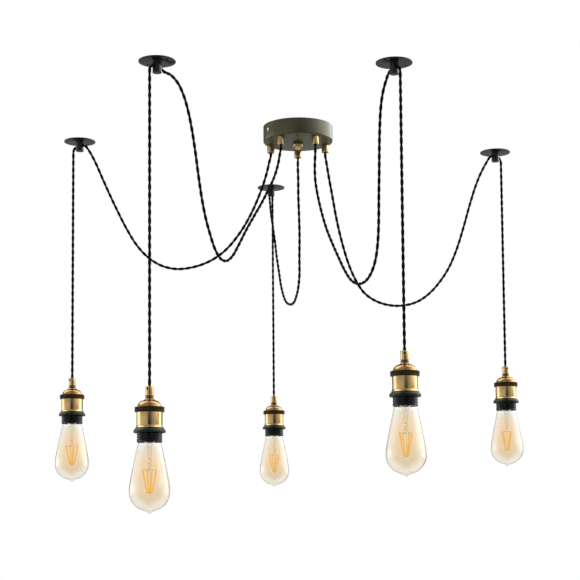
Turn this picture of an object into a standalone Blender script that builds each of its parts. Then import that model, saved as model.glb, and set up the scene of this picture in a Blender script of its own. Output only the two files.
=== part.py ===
"""Spider pendant light: a round ceiling canopy, five ceiling hooks and five hanging lamps.

Metres, +Z up. The origin is the centre of the canopy where it meets the ceiling, +X is to
the right and +Y goes away from the viewer. Each twisted cord leaves a grip under the
canopy, sags to its hook, goes through the hook's post and hangs straight down to its lamp.
"""

import math

import bmesh
import bpy
from mathutils import Matrix, Quaternion, Vector

GAP = 0.0003  # running gap between pieces that touch
CUT_OVERRUN = 0.002  # how far a cutter runs past what it cuts
WELD_DISTANCE = 0.00001
LAMP_STEPS = 16  # sides of a turned lamp piece
PLATE_STEPS = 24  # sides of a hook's plate
CANOPY_STEPS = 36  # sides of the canopy
SMALL_STEPS = 12  # sides of a small turned piece
HOLE_STEPS = 12  # sides of a drilled hole

# Canopy cup: spun steel, open at the ceiling
CANOPY_RADIUS = 0.065
CANOPY_DEPTH = 0.030
CANOPY_WALL = 0.0012
CANOPY_EDGE = 0.003
EDGE_STEPS = 3

# Cord grips under the canopy, one per cord, on a ring
CANOPY_GRIP_INSET = 0.011  # from the canopy's side to a grip's axis
CANOPY_GRIP_RADIUS = 0.0068
CANOPY_GRIP_LENGTH = 0.015
CANOPY_GRIP_CHAMFER = 0.0008
CANOPY_THREAD_RADIUS = 0.0047
CANOPY_THREAD_REACH = 0.0035  # above the canopy's floor

# Ceiling strap across the canopy, with its ends bent down
STRAP_TURN = math.radians(32)
STRAP_WIDTH = 0.016
STRAP_THICKNESS = 0.002
STRAP_EAR = 0.020
STRAP_HOLE_RADIUS = 0.0026
STRAP_HOLE_SHARE = 0.9  # of the strap's half length

# Stud under the strap, and the ball nut that holds the canopy up
STUD_RADIUS = 0.003
STUD_IN_NUT = 0.009
BALL_RADIUS = 0.010
BALL_COLLAR_RADIUS = 0.009
BALL_BORE_SLACK = 0.001
BALL_STEPS = 5

# Terminal block under the strap, where the five cords meet the supply
BLOCK_LENGTH = 0.036
BLOCK_WIDTH = 0.014
BLOCK_HEIGHT = 0.011
BLOCK_FROM_STUD = 0.006
BLOCK_BEVEL = 0.001

# Ceiling hook: a round plate with a post that the cord goes through sideways
PLATE_RADIUS = 0.030
PLATE_THICKNESS = 0.002
POST_RADIUS = 0.0075
POST_LENGTH = 0.018
POST_CHAMFER = 0.0007
CORD_BELOW_PLATE = 0.0075
PLATE_HOLE_RADIUS = 0.0022
PLATE_HOLE_INSET = 0.0095  # from the plate's rim

# Twisted two-core cord, drawn as its outer tube
CORD_DIAMETER = 0.0054
CORD_STEP_DIAMETERS = 2.5  # length of one straight piece of the tube
CORD_BEVEL_RESOLUTION = 2
CURVE_STEPS = 24  # fine steps between two route points
HANG_BEND = 0.011
HANG_BEND_INSET = 0.0005  # how far inside the post's side the bend starts
HANG_BEND_STEPS = 4
LEAD_IN = 0.017  # from the post's axis to the last free point of the sag
LEAD_DIP = 0.004

# Lamp, from the top of its cord grip down
GRIP_RADIUS = 0.0068
GRIP_LENGTH = 0.015
GRIP_CHAMFER = 0.0006
NECK_RADIUS = 0.00645
NECK_LENGTH = 0.007
THREAD_RADIUS = 0.0047
THREAD_LENGTH = 0.0045
DOME_TOP_RADIUS = 0.0075
DOME_RADIUS = 0.019
DOME_HEIGHT = 0.0105
DOME_STEPS = 4
CAP_WALL = 0.0012
UPPER_RING_WALL = 0.004
UPPER_RING_HEIGHT = 0.008
UPPER_RING_CHAMFER = 0.0008
SLEEVE_STEP = 0.0013  # how far it stands out past the cap's skirt
SLEEVE_WALL = 0.0012
SLEEVE_HEIGHT = 0.0245
SHADE_RING_WALL = 0.0049
SHADE_RING_HEIGHT = 0.008
SHADE_RING_BEVEL_WIDTH = 0.0035
SHADE_RING_BEVEL_HEIGHT = 0.0042
SHADE_RING_CHAMFER = 0.0012  # at its lower corner
SKIRT_LENGTH = 0.015
SKIRT_WALL = 0.0022
CORE_IN_CAP = 0.0035
MOUTH_DEPTH = 0.008

# Bulb: screw base, then the glass from the skirt's rim down
BASE_RADIUS = 0.0131
BASE_LENGTH = 0.0265
BASE_WALL = 0.0012
BASE_CLEARANCE = 0.0011  # room for the socket's thread and springs
BASE_BELOW_MOUTH_FLOOR = 0.002
CONTACT_RADIUS = 0.005
CONTACT_HEIGHT = 0.0042
PUMP_HOLE_RADIUS = 0.0015
GLASS_CLEARANCE = 0.0004  # round its neck, in the core's mouth
GLASS_RADIUS = 0.032
GLASS_LENGTH = 0.1105
GLASS_WALL = 0.001
GLASS_NECK_SHARES = (  # (of the length, of the way out from the neck to the full radius)
    (0.0, 0.0), (0.11, 0.219), (0.22, 0.397), (0.375, 0.645), (0.52, 0.849), (0.625, 0.974),
)
GLASS_TIP_SHARES = (  # (of the length, of the full radius)
    (0.70, 1.0), (0.77, 0.969), (0.83, 0.881), (0.88, 0.75), (0.925, 0.575), (0.957, 0.38),
    (0.978, 0.20), (0.99, 0.09),
)

# Each pendant: its grip's bearing on the canopy, its hook's place on the ceiling, the
# bearing on which its cord leaves the hook for the lamp, and the height of the lamp's top
PENDANTS = {
    "a": {"grip": math.radians(162), "hook": (-0.423, 0.088), "out": math.radians(142), "top": -0.461},
    "b": {"grip": math.radians(234), "hook": (-0.228, -0.392), "out": math.radians(234), "top": -0.5265},
    "c": {"grip": math.radians(306), "hook": (0.154, -0.375), "out": math.radians(298), "top": -0.472},
    "d": {"grip": math.radians(18), "hook": (0.399, 0.196), "out": math.radians(43), "top": -0.434},
    "e": {"grip": math.radians(90), "hook": (-0.057, 0.484), "out": math.radians(82), "top": -0.4635},
}

# Each sag's route from grip to hook: how far along, how high, and how far aside
SAGS = {
    "a": (
        (0.003, -0.062, 0), (0.009, -0.086, 0), (0.020, -0.118, 0), (0.039, -0.160, 0),
        (0.062, -0.197, 0), (0.090, -0.228, 0), (0.120, -0.247, 0), (0.153, -0.257, 0),
        (0.185, -0.259, 0), (0.215, -0.251, 0), (0.241, -0.234, 0), (0.263, -0.210, 0),
        (0.284, -0.176, 0), (0.302, -0.141, 0), (0.318, -0.107, -0.001), (0.332, -0.075, -0.003),
        (0.344, -0.047, -0.005), (0.354, -0.027, -0.007),
    ),
    "b": (
        (0.004, -0.063, 0), (0.012, -0.086, 0), (0.026, -0.112, 0), (0.046, -0.138, 0),
        (0.073, -0.170, 0), (0.100, -0.199, 0), (0.128, -0.230, 0), (0.152, -0.259, 0),
        (0.172, -0.281, 0), (0.192, -0.293, 0), (0.211, -0.292, 0), (0.228, -0.279, 0),
        (0.243, -0.257, 0), (0.257, -0.231, 0), (0.269, -0.199, 0), (0.279, -0.163, 0),
        (0.288, -0.126, 0), (0.297, -0.094, 0), (0.308, -0.064, 0), (0.321, -0.040, 0),
        (0.338, -0.022, 0), (0.359, -0.013, 0),
    ),
    "c": (
        (-0.001, -0.063, 0), (-0.004, -0.086, 0), (-0.002, -0.112, 0), (0.008, -0.140, 0),
        (0.026, -0.175, 0), (0.050, -0.212, 0), (0.078, -0.245, 0), (0.108, -0.277, 0),
        (0.136, -0.305, 0), (0.164, -0.326, 0), (0.195, -0.337, 0), (0.226, -0.337, 0),
        (0.250, -0.327, 0), (0.268, -0.308, 0), (0.278, -0.282, 0), (0.283, -0.248, 0),
        (0.285, -0.208, 0), (0.288, -0.165, 0), (0.290, -0.125, 0), (0.293, -0.090, 0),
        (0.298, -0.060, 0), (0.307, -0.037, 0), (0.320, -0.021, 0),
    ),
    "d": (
        (0.002, -0.062, 0), (0.007, -0.090, 0), (0.014, -0.125, 0), (0.023, -0.171, 0),
        (0.035, -0.217, 0), (0.049, -0.257, 0), (0.064, -0.286, 0), (0.082, -0.308, 0),
        (0.108, -0.322, 0), (0.140, -0.328, 0), (0.170, -0.326, 0), (0.200, -0.317, 0),
        (0.228, -0.299, 0), (0.253, -0.274, 0), (0.275, -0.244, 0), (0.294, -0.206, 0),
        (0.311, -0.161, 0), (0.326, -0.117, 0), (0.340, -0.078, 0.001), (0.352, -0.050, 0.003),
        (0.364, -0.029, 0.004),
    ),
    "e": (
        (0.002, -0.062, 0), (0.006, -0.083, 0.001), (0.013, -0.118, 0.002), (0.020, -0.154, 0.004),
        (0.030, -0.192, 0.006), (0.042, -0.229, 0.007), (0.058, -0.262, 0.009), (0.080, -0.286, 0.009),
        (0.109, -0.300, 0.008), (0.143, -0.304, 0.008), (0.180, -0.301, 0.006), (0.213, -0.291, 0.003),
        (0.240, -0.274, 0.001), (0.266, -0.247, -0.001), (0.290, -0.214, -0.002), (0.311, -0.178, -0.004),
        (0.331, -0.141, -0.005), (0.349, -0.106, -0.007), (0.365, -0.074, -0.009), (0.380, -0.048, -0.009),
        (0.397, -0.027, -0.008),
    ),
}

# Heights and radii that follow from the sizes above
cord_radius = CORD_DIAMETER / 2
cord_height = -(PLATE_THICKNESS + CORD_BELOW_PLATE)
canopy_floor = CANOPY_WALL - CANOPY_DEPTH
canopy_grip_ring = CANOPY_RADIUS - CANOPY_GRIP_INSET
canopy_grip_face = -(CANOPY_DEPTH + GAP + CANOPY_GRIP_LENGTH)
strap_corner = CANOPY_RADIUS - CANOPY_WALL - GAP
strap_half = math.sqrt(strap_corner**2 - (STRAP_WIDTH / 2) ** 2)
hang_out = POST_RADIUS + HANG_BEND - HANG_BEND_INSET  # from the post's axis to the hanging cord

# Radii on the lamp, from its cap outwards and from the bulb's base outwards
upper_ring_radius = DOME_RADIUS + GAP + UPPER_RING_WALL
sleeve_radius = DOME_RADIUS + SLEEVE_STEP
skirt_radius = sleeve_radius - GAP
shade_ring_radius = skirt_radius + GAP + SHADE_RING_WALL
mouth_radius = skirt_radius - SKIRT_WALL
glass_neck_radius = mouth_radius - GLASS_CLEARANCE
socket_radius = BASE_RADIUS + BASE_CLEARANCE

# Heights on the lamp, measured from the top of its cord grip
cap_top = -(GRIP_LENGTH + NECK_LENGTH)
dome_foot = cap_top - DOME_HEIGHT
ring_foot = dome_foot - UPPER_RING_HEIGHT
sleeve_top = ring_foot - GAP
sleeve_foot = ring_foot - SLEEVE_HEIGHT
shade_ring_top = sleeve_foot - GAP
shade_ring_foot = sleeve_foot - SHADE_RING_HEIGHT
rim = shade_ring_foot - SKIRT_LENGTH
mouth_floor = rim + MOUTH_DEPTH
base_foot = mouth_floor - BASE_BELOW_MOUTH_FLOOR
bulb_top = base_foot + BASE_LENGTH
socket_floor = bulb_top + GAP


def clear_scene():
    """Take the startup objects out."""
    for obj in list(bpy.data.objects):
        bpy.data.objects.remove(obj, do_unlink=True)


def collection(name):
    """A new collection in the scene."""
    made = bpy.data.collections.new(name)
    bpy.context.scene.collection.children.link(made)
    return made


def material(name, colour, metallic, roughness):
    """A Principled material."""
    made = bpy.data.materials.new(name)
    made.use_nodes = True
    shader = made.node_tree.nodes["Principled BSDF"]
    shader.inputs["Base Color"].default_value = (*colour, 1.0)
    shader.inputs["Metallic"].default_value = metallic
    shader.inputs["Roughness"].default_value = roughness
    return made


def place(name, data, finish, parent=None, at=(0, 0, 0)):
    """A new piece in its collection, with its material, its parent and its place."""
    obj = bpy.data.objects.new(name, data)
    PARTS.objects.link(obj)
    data.materials.append(finish)
    obj.parent = parent
    obj.location = at
    return obj


def turned(name, profile, steps, finish, parent=None, at=(0, 0, 0), closed=False):
    """A turned piece: (radius, height) points that run down its outer side, and a Screw."""
    mesh = bpy.data.meshes.new(name)
    edges = [(i, i + 1) for i in range(len(profile) - 1)]
    if closed:
        edges.append((len(profile) - 1, 0))
    mesh.from_pydata([(r, 0, z) for r, z in profile], edges, [])
    obj = place(name, mesh, finish, parent, at)
    screw = obj.modifiers.new("Turn", "SCREW")
    screw.steps = steps
    screw.render_steps = steps
    screw.use_merge_vertices = True
    screw.merge_threshold = WELD_DISTANCE
    screw.use_smooth_shade = True
    return obj


def arc(centre, radius, start, end, steps):
    """Points round part of a circle, by angle from the direction of growing radius."""
    turns = [start + (end - start) * i / steps for i in range(steps + 1)]
    return [(centre[0] + radius * math.cos(t), centre[1] + radius * math.sin(t)) for t in turns]


def on_ring(radius, bearing):
    """A place on the ceiling by its distance and bearing from the canopy's centre."""
    return radius * math.cos(bearing), radius * math.sin(bearing)


def drill(obj, name, radius, start, end, parent=None):
    """Cut a round hole from start to end, which are points in the parent's own axes."""
    start = Vector(start)
    axis = Vector(end) - start
    shape = bmesh.new()
    bmesh.ops.create_cone(
        shape, cap_ends=True, segments=HOLE_STEPS, radius1=radius, radius2=radius, depth=axis.length
    )
    mesh = bpy.data.meshes.new(name)
    shape.to_mesh(mesh)
    shape.free()
    cutter = bpy.data.objects.new(name, mesh)
    CUTTERS.objects.link(cutter)
    cutter.hide_render = True
    cutter.display_type = "WIRE"
    cutter.parent = parent
    cutter.location = start + axis / 2
    cutter.rotation_mode = "QUATERNION"
    half_side = Quaternion((0, 0, 1), math.pi / HOLE_STEPS)
    cutter.rotation_quaternion = Vector((0, 0, 1)).rotation_difference(axis) @ half_side
    cut = obj.modifiers.new(name, "BOOLEAN")
    cut.operation = "DIFFERENCE"
    cut.solver = "EXACT"
    cut.object = cutter


def smooth_route(route):
    """A smooth curve through the points: Catmull-Rom, timed by the root of each distance."""
    points = [Vector(p) for p in route]
    points = [2 * points[0] - points[1], *points, 2 * points[-1] - points[-2]]
    curve = []
    for p0, p1, p2, p3 in zip(points, points[1:], points[2:], points[3:]):
        t1 = math.sqrt((p1 - p0).length)
        t2 = t1 + math.sqrt((p2 - p1).length)
        t3 = t2 + math.sqrt((p3 - p2).length)
        for i in range(CURVE_STEPS):
            t = t1 + (t2 - t1) * i / CURVE_STEPS
            a1 = p0.lerp(p1, t / t1)
            a2 = p1.lerp(p2, (t - t1) / (t2 - t1))
            a3 = p2.lerp(p3, (t - t2) / (t3 - t2))
            b1 = a1.lerp(a2, t / t2)
            b2 = a2.lerp(a3, (t - t1) / (t3 - t1))
            curve.append(b1.lerp(b2, (t - t1) / (t2 - t1)))
    return [*curve, points[-2]]


def even_steps(curve, step):
    """The curve again, as points that lie the same distance apart."""
    lengths = [(b - a).length for a, b in zip(curve, curve[1:])]
    count = max(2, round(sum(lengths) / step))
    spacing = sum(lengths) / count
    points = [curve[0]]
    walked = 0
    for a, b, length in zip(curve, curve[1:], lengths):
        while len(points) < count and walked + length >= spacing * len(points):
            points.append(a.lerp(b, (spacing * len(points) - walked) / length))
        walked += length
    return [*points, curve[-1]]


def cord_tube(name, points, parent=None):
    """A cord as a round tube along the points."""
    curve = bpy.data.curves.new(name, "CURVE")
    curve.dimensions = "3D"
    curve.bevel_depth = cord_radius
    curve.bevel_resolution = CORD_BEVEL_RESOLUTION
    curve.render_resolution_u = 0
    curve.use_fill_caps = True
    spline = curve.splines.new("POLY")
    spline.points.add(len(points) - 1)
    for knot, point in zip(spline.points, points):
        knot.co = (*point, 1)
    place(name, curve, FABRIC, parent)


def canopy_cup():
    """Spun cup with a rounded lower edge, drilled for the stud and the five grips."""
    inner = CANOPY_RADIUS - CANOPY_WALL
    stud_hole = STUD_RADIUS + GAP
    edge = (CANOPY_RADIUS - CANOPY_EDGE, CANOPY_EDGE - CANOPY_DEPTH)
    outside = arc(edge, CANOPY_EDGE, 0, -math.pi / 2, EDGE_STEPS)
    inside = arc(edge, CANOPY_EDGE - CANOPY_WALL, -math.pi / 2, 0, EDGE_STEPS)
    profile = [(inner, 0), (CANOPY_RADIUS, 0), *outside]
    profile += [(stud_hole, -CANOPY_DEPTH), (stud_hole, canopy_floor), *inside]
    cup = turned("canopy_cup", profile, CANOPY_STEPS, CANOPY_PAINT, closed=True)
    for letter, pendant in PENDANTS.items():
        x, y = on_ring(canopy_grip_ring, pendant["grip"])
        low = (x, y, -(CANOPY_DEPTH + CUT_OVERRUN))
        high = (x, y, canopy_floor + CUT_OVERRUN)
        drill(cup, "grip_hole_" + letter, CANOPY_THREAD_RADIUS + GAP, low, high)


def canopy_grip(letter, pendant):
    """Brass grip on the canopy's underside, its thread up through the floor."""
    shoulder = -(CANOPY_DEPTH + GAP)
    top = canopy_floor + CANOPY_THREAD_REACH
    profile = [
        (0, top),
        (CANOPY_THREAD_RADIUS, top),
        (CANOPY_THREAD_RADIUS, shoulder),
        (CANOPY_GRIP_RADIUS, shoulder),
        (CANOPY_GRIP_RADIUS, canopy_grip_face + CANOPY_GRIP_CHAMFER),
        (CANOPY_GRIP_RADIUS - CANOPY_GRIP_CHAMFER, canopy_grip_face),
        (0, canopy_grip_face),
    ]
    at = (*on_ring(canopy_grip_ring, pendant["grip"]), 0)
    turned("canopy_grip_" + letter, profile, SMALL_STEPS, BRASS, at=at)


def ceiling_strap():
    """Steel strap across the canopy, its ends bent down for the canopy's side screws."""
    inside = strap_half - STRAP_THICKNESS
    right = [(strap_half, 0), (strap_half, -STRAP_EAR), (inside, -STRAP_EAR), (inside, -STRAP_THICKNESS)]
    left = [(-x, z) for x, z in right[::-1]]
    curve = bpy.data.curves.new("strap_outline", "CURVE")
    curve.dimensions = "2D"
    curve.fill_mode = "BOTH"
    curve.extrude = STRAP_WIDTH / 2
    spline = curve.splines.new("POLY")
    spline.points.add(len(right + left) - 1)
    spline.use_cyclic_u = True
    for knot, (x, z) in zip(spline.points, right + left):
        knot.co = (x, z, 0, 1)
    outline = place("strap_outline", curve, STEEL)
    outline.matrix_world = Matrix.Rotation(STRAP_TURN, 4, "Z") @ Matrix.Rotation(math.pi / 2, 4, "X")
    strap = solid_from_curve(outline, "ceiling_strap")
    for side, word in ((-1, "left"), (1, "right")):
        x, y = on_ring(side * STRAP_HOLE_SHARE * strap_half, STRAP_TURN)
        low = (x, y, -(STRAP_THICKNESS + CUT_OVERRUN))
        drill(strap, "strap_hole_" + word, STRAP_HOLE_RADIUS, low, (x, y, CUT_OVERRUN))


def solid_from_curve(drawn, name):
    """Make a drawn curve a mesh with its caps welded on, under a new name."""
    bpy.context.view_layer.update()
    mesh = bpy.data.meshes.new_from_object(drawn.evaluated_get(bpy.context.evaluated_depsgraph_get()))
    shape = bmesh.new()
    shape.from_mesh(mesh)
    bmesh.ops.remove_doubles(shape, verts=shape.verts, dist=WELD_DISTANCE)
    shape.to_mesh(mesh)
    shape.free()
    solid = bpy.data.objects.new(name, mesh)
    PARTS.objects.link(solid)
    solid.matrix_world = drawn.matrix_world
    bpy.data.objects.remove(drawn, do_unlink=True)
    return solid


def canopy_stud():
    """Threaded stud under the strap, down through the canopy into the ball nut."""
    top = -(STRAP_THICKNESS + GAP)
    foot = -(CANOPY_DEPTH + STUD_IN_NUT)
    profile = [(0, top), (STUD_RADIUS, top), (STUD_RADIUS, foot), (0, foot)]
    turned("canopy_stud", profile, SMALL_STEPS, STEEL)


def ball_nut():
    """Round brass nut under the canopy, with a blind thread for the stud."""
    top = -(CANOPY_DEPTH + GAP)
    bore = STUD_RADIUS + GAP
    bore_end = -(CANOPY_DEPTH + STUD_IN_NUT + BALL_BORE_SLACK)
    shoulder = math.acos(BALL_COLLAR_RADIUS / BALL_RADIUS)
    middle = top - BALL_RADIUS * math.sin(shoulder)
    ball = arc((0, middle), BALL_RADIUS, shoulder, -math.pi / 2, BALL_STEPS)
    profile = [(0, bore_end), (bore, bore_end), (bore, top), *ball[:-1], (0, middle - BALL_RADIUS)]
    turned("ball_nut", profile, LAMP_STEPS, BRASS)


def terminal_block():
    """Moulded terminal block, fixed under the strap beside the stud."""
    shape = bmesh.new()
    bmesh.ops.create_cube(shape, size=1)
    bmesh.ops.scale(shape, vec=(BLOCK_LENGTH, BLOCK_WIDTH, BLOCK_HEIGHT), verts=shape.verts)
    mesh = bpy.data.meshes.new("terminal_block")
    shape.to_mesh(mesh)
    shape.free()
    x, y = on_ring(STUD_RADIUS + BLOCK_FROM_STUD + BLOCK_LENGTH / 2, STRAP_TURN)
    z = -(STRAP_THICKNESS + GAP + BLOCK_HEIGHT / 2)
    block = place("terminal_block", mesh, WHITE_PLASTIC, at=(x, y, z))
    block.rotation_euler = (0, 0, STRAP_TURN)
    bevel = block.modifiers.new("Edges", "BEVEL")
    bevel.width = BLOCK_BEVEL
    bevel.segments = 1


def ceiling_hook(letter, pivot):
    """Round plate and post in one piece, with a cross hole for the cord and two screw holes."""
    top = -cord_height
    under = top - PLATE_THICKNESS
    foot = under - POST_LENGTH
    profile = [
        (0, top),
        (PLATE_RADIUS, top),
        (PLATE_RADIUS, under),
        (POST_RADIUS, under),
        (POST_RADIUS, foot + POST_CHAMFER),
        (POST_RADIUS - POST_CHAMFER, foot),
        (0, foot),
    ]
    hook = turned("ceiling_hook_" + letter, profile, PLATE_STEPS, BLACK_PAINT, pivot)
    reach = POST_RADIUS + CUT_OVERRUN
    drill(hook, "cord_hole_" + letter, cord_radius + GAP, (-reach, 0, 0), (reach, 0, 0), pivot)
    for side, word in ((-1, "left"), (1, "right")):
        y = side * (PLATE_RADIUS - PLATE_HOLE_INSET)
        low = (0, y, under - CUT_OVERRUN)
        drill(hook, f"screw_hole_{word}_{letter}", PLATE_HOLE_RADIUS, low, (0, y, top + CUT_OVERRUN), pivot)


def sag_route(letter, pendant):
    """Straight down from the grip, along the hand-chosen points and straight into the hook."""
    start = Vector((*on_ring(canopy_grip_ring, pendant["grip"]), 0))
    hook = Vector((*pendant["hook"], 0))
    out = Vector((*on_ring(1, pendant["out"]), 0))
    up = Vector((0, 0, 1))
    along = (hook - start).normalized()
    aside = along.cross(up)
    exit_height = canopy_grip_face - GAP
    route = [start + up * exit_height, start + up * (exit_height - CORD_DIAMETER)]
    route += [start + along * x + up * z + aside * y for x, z, y in SAGS[letter]]
    route.append(hook - out * LEAD_IN + up * (cord_height - LEAD_DIP))
    route.append(hook - out * POST_RADIUS + up * cord_height)
    route.append(hook - out * (GAP / 2) + up * cord_height)
    return route


def sag_points(letter, pendant):
    """The sag's points, with its first and last stretch straight."""
    route = sag_route(letter, pendant)
    free = smooth_route(route)[CURVE_STEPS:-CURVE_STEPS]
    return [route[0], *even_steps(free, CORD_STEP_DIAMETERS * CORD_DIAMETER), route[-1]]


def drop_points(lamp_top):
    """Out of the post, round a bend and straight down to the lamp, in the pivot's own axes."""
    bend = arc((hang_out - HANG_BEND, -HANG_BEND), HANG_BEND, math.pi / 2, 0, HANG_BEND_STEPS)
    points = [Vector((GAP / 2, 0, 0))]
    points += [Vector((x, 0, z)) for x, z in bend]
    foot = Vector((hang_out, 0, lamp_top + GAP))
    return points + even_steps([points[-1], foot], CORD_STEP_DIAMETERS * CORD_DIAMETER)[1:]


def cord_grip(letter, pivot, lamp_at):
    """Brass grip that clamps the cord, with the neck and thread that hold the cap."""
    profile = [
        (0, 0),
        (GRIP_RADIUS - GRIP_CHAMFER, 0),
        (GRIP_RADIUS, -GRIP_CHAMFER),
        (GRIP_RADIUS, -GRIP_LENGTH),
        (NECK_RADIUS, -GRIP_LENGTH),
        (NECK_RADIUS, cap_top + GAP),
        (THREAD_RADIUS, cap_top + GAP),
        (THREAD_RADIUS, cap_top - THREAD_LENGTH),
        (0, cap_top - THREAD_LENGTH),
    ]
    turned("cord_grip_" + letter, profile, SMALL_STEPS, BRASS, pivot, lamp_at)


def holder_cap(letter, pivot, lamp_at):
    """Domed brass cap whose straight skirt goes down inside the upper ring."""
    hole = THREAD_RADIUS + GAP
    skirt_foot = ring_foot + GAP
    spread = DOME_RADIUS - DOME_TOP_RADIUS
    outside = []
    inside = []
    for i in range(DOME_STEPS + 1):
        turn = math.pi / 2 * (1 - i / DOME_STEPS)
        radius = DOME_TOP_RADIUS + spread * math.cos(turn)
        outside.append((radius, dome_foot + DOME_HEIGHT * math.sin(turn)))
        inner = radius - CAP_WALL * math.cos(turn)
        inside.append((inner, dome_foot + (DOME_HEIGHT - CAP_WALL) * math.sin(turn)))
    profile = [(hole, cap_top), *outside, (DOME_RADIUS, skirt_foot)]
    profile += [(DOME_RADIUS - CAP_WALL, skirt_foot), *inside[::-1], (hole, cap_top - CAP_WALL)]
    turned("holder_cap_" + letter, profile, LAMP_STEPS, BRASS, pivot, lamp_at, closed=True)


def upper_ring(letter, pivot, lamp_at):
    """Dark ring round the cap's skirt, above the sleeve."""
    bore = DOME_RADIUS + GAP
    land = upper_ring_radius - UPPER_RING_CHAMFER
    profile = [
        (bore, dome_foot),
        (land, dome_foot),
        (upper_ring_radius, dome_foot - UPPER_RING_CHAMFER),
        (upper_ring_radius, ring_foot + UPPER_RING_CHAMFER),
        (land, ring_foot),
        (bore, ring_foot),
    ]
    turned("upper_ring_" + letter, profile, LAMP_STEPS, DARK_RING, pivot, lamp_at, closed=True)


def holder_sleeve(letter, pivot, lamp_at):
    """Brass sleeve round the socket core, standing on the core's shoulder."""
    bore = sleeve_radius - SLEEVE_WALL
    profile = [(bore, sleeve_top), (sleeve_radius, sleeve_top), (sleeve_radius, sleeve_foot), (bore, sleeve_foot)]
    turned("holder_sleeve_" + letter, profile, LAMP_STEPS, BRASS, pivot, lamp_at, closed=True)


def socket_core(letter, pivot, lamp_at):
    """Moulded core: plug inside the cap, body inside the sleeve, and threaded skirt below."""
    in_cap = DOME_RADIUS - CAP_WALL - GAP
    in_sleeve = sleeve_radius - SLEEVE_WALL - GAP
    top = sleeve_top + CORE_IN_CAP
    profile = [
        (0, top),
        (in_cap, top),
        (in_cap, sleeve_top),
        (in_sleeve, sleeve_top),
        (in_sleeve, shade_ring_top),
        (skirt_radius, shade_ring_top),
        (skirt_radius, rim),
        (mouth_radius, rim),
        (mouth_radius, mouth_floor),
        (socket_radius, mouth_floor),
        (socket_radius, socket_floor),
        (0, socket_floor),
    ]
    turned("socket_core_" + letter, profile, LAMP_STEPS, PHENOLIC, pivot, lamp_at)


def shade_ring(letter, pivot, lamp_at):
    """Bevelled ring that screws up the core's skirt and would clamp a shade."""
    bore = skirt_radius + GAP
    profile = [
        (bore, shade_ring_top),
        (shade_ring_radius - SHADE_RING_BEVEL_WIDTH, shade_ring_top),
        (shade_ring_radius, shade_ring_top - SHADE_RING_BEVEL_HEIGHT),
        (shade_ring_radius, shade_ring_foot + SHADE_RING_CHAMFER),
        (shade_ring_radius - SHADE_RING_CHAMFER, shade_ring_foot),
        (bore, shade_ring_foot),
    ]
    turned("shade_ring_" + letter, profile, LAMP_STEPS, DARK_RING, pivot, lamp_at, closed=True)


def bulb(letter, pivot, lamp_at):
    """Screw base and hollow glass in one shell, open at the pump hole in the base's contact."""
    spread = GLASS_RADIUS - glass_neck_radius
    glass = [(glass_neck_radius + spread * r, rim - GLASS_LENGTH * z) for z, r in GLASS_NECK_SHARES]
    glass += [(GLASS_RADIUS * r, rim - GLASS_LENGTH * z) for z, r in GLASS_TIP_SHARES]
    shoulder = bulb_top - CONTACT_HEIGHT
    outside = [
        (PUMP_HOLE_RADIUS, bulb_top),
        (CONTACT_RADIUS, bulb_top),
        (BASE_RADIUS, shoulder),
        (BASE_RADIUS, base_foot),
        *glass,
        (0, rim - GLASS_LENGTH),
    ]
    inside = [
        (PUMP_HOLE_RADIUS, bulb_top - BASE_WALL),
        (BASE_RADIUS - BASE_WALL, shoulder - BASE_WALL),
        (BASE_RADIUS - BASE_WALL, base_foot),
        *[(r - GLASS_WALL, z) for r, z in glass[:10:2]],
        (glass[9][0] - GLASS_WALL, glass[9][1]),
        (glass[10][0] - GLASS_WALL, glass[10][1] + GLASS_WALL),
        (0, glass[11][1] + GLASS_WALL),
    ]
    turned("bulb_" + letter, inside[::-1] + outside, LAMP_STEPS, AMBER_GLASS, pivot, lamp_at)


LAMP_PIECES = (cord_grip, holder_cap, upper_ring, holder_sleeve, socket_core, shade_ring, bulb)


def pendant_light(letter, pendant):
    """One hook with its sagging cord, its hanging cord and its lamp."""
    pivot = bpy.data.objects.new("swing_axis_" + letter, None)
    PARTS.objects.link(pivot)
    pivot.location = (*pendant["hook"], cord_height)
    pivot.rotation_euler = (0, 0, pendant["out"])
    ceiling_hook(letter, pivot)
    cord_tube("swag_cord_" + letter, sag_points(letter, pendant))
    lamp_top = pendant["top"] - cord_height
    cord_tube("drop_cord_" + letter, drop_points(lamp_top), pivot)
    for lamp_piece in LAMP_PIECES:
        lamp_piece(letter, pivot, (hang_out, 0, lamp_top))


clear_scene()
PARTS = collection("spider_pendant_light")
CUTTERS = collection("cutters")
CANOPY_PAINT = material("olive_gunmetal_paint", (0.075, 0.08, 0.06), 0.3, 0.4)
BRASS = material("brushed_brass", (0.52, 0.38, 0.17), 1, 0.3)
STEEL = material("zinc_plated_steel", (0.5, 0.5, 0.5), 1, 0.4)
WHITE_PLASTIC = material("white_polyamide", (0.8, 0.8, 0.78), 0, 0.5)
BLACK_PAINT = material("black_paint", (0.02, 0.02, 0.022), 0.1, 0.4)
FABRIC = material("black_braided_fabric", (0.012, 0.012, 0.013), 0, 0.9)
DARK_RING = material("dark_bronze", (0.05, 0.04, 0.03), 0.7, 0.45)
PHENOLIC = material("black_phenolic", (0.015, 0.015, 0.016), 0, 0.35)
AMBER_GLASS = material("amber_glass", (0.85, 0.62, 0.32), 0, 0.05)

canopy_cup()
ceiling_strap()
canopy_stud()
ball_nut()
terminal_block()
for letter, pendant in PENDANTS.items():
    canopy_grip(letter, pendant)
    pendant_light(letter, pendant)
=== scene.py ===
"""The spider pendant light, dressed: round canopy, twisted cords over ceiling hooks, brass lamps.

Metres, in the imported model's own frame: the ceiling is at height zero, +Z up, +X to the
right and +Y away from the viewer. Each section makes one piece of the real light.
"""

import math

import bmesh
import bpy
import numpy as np
from mathutils import Matrix


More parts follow.
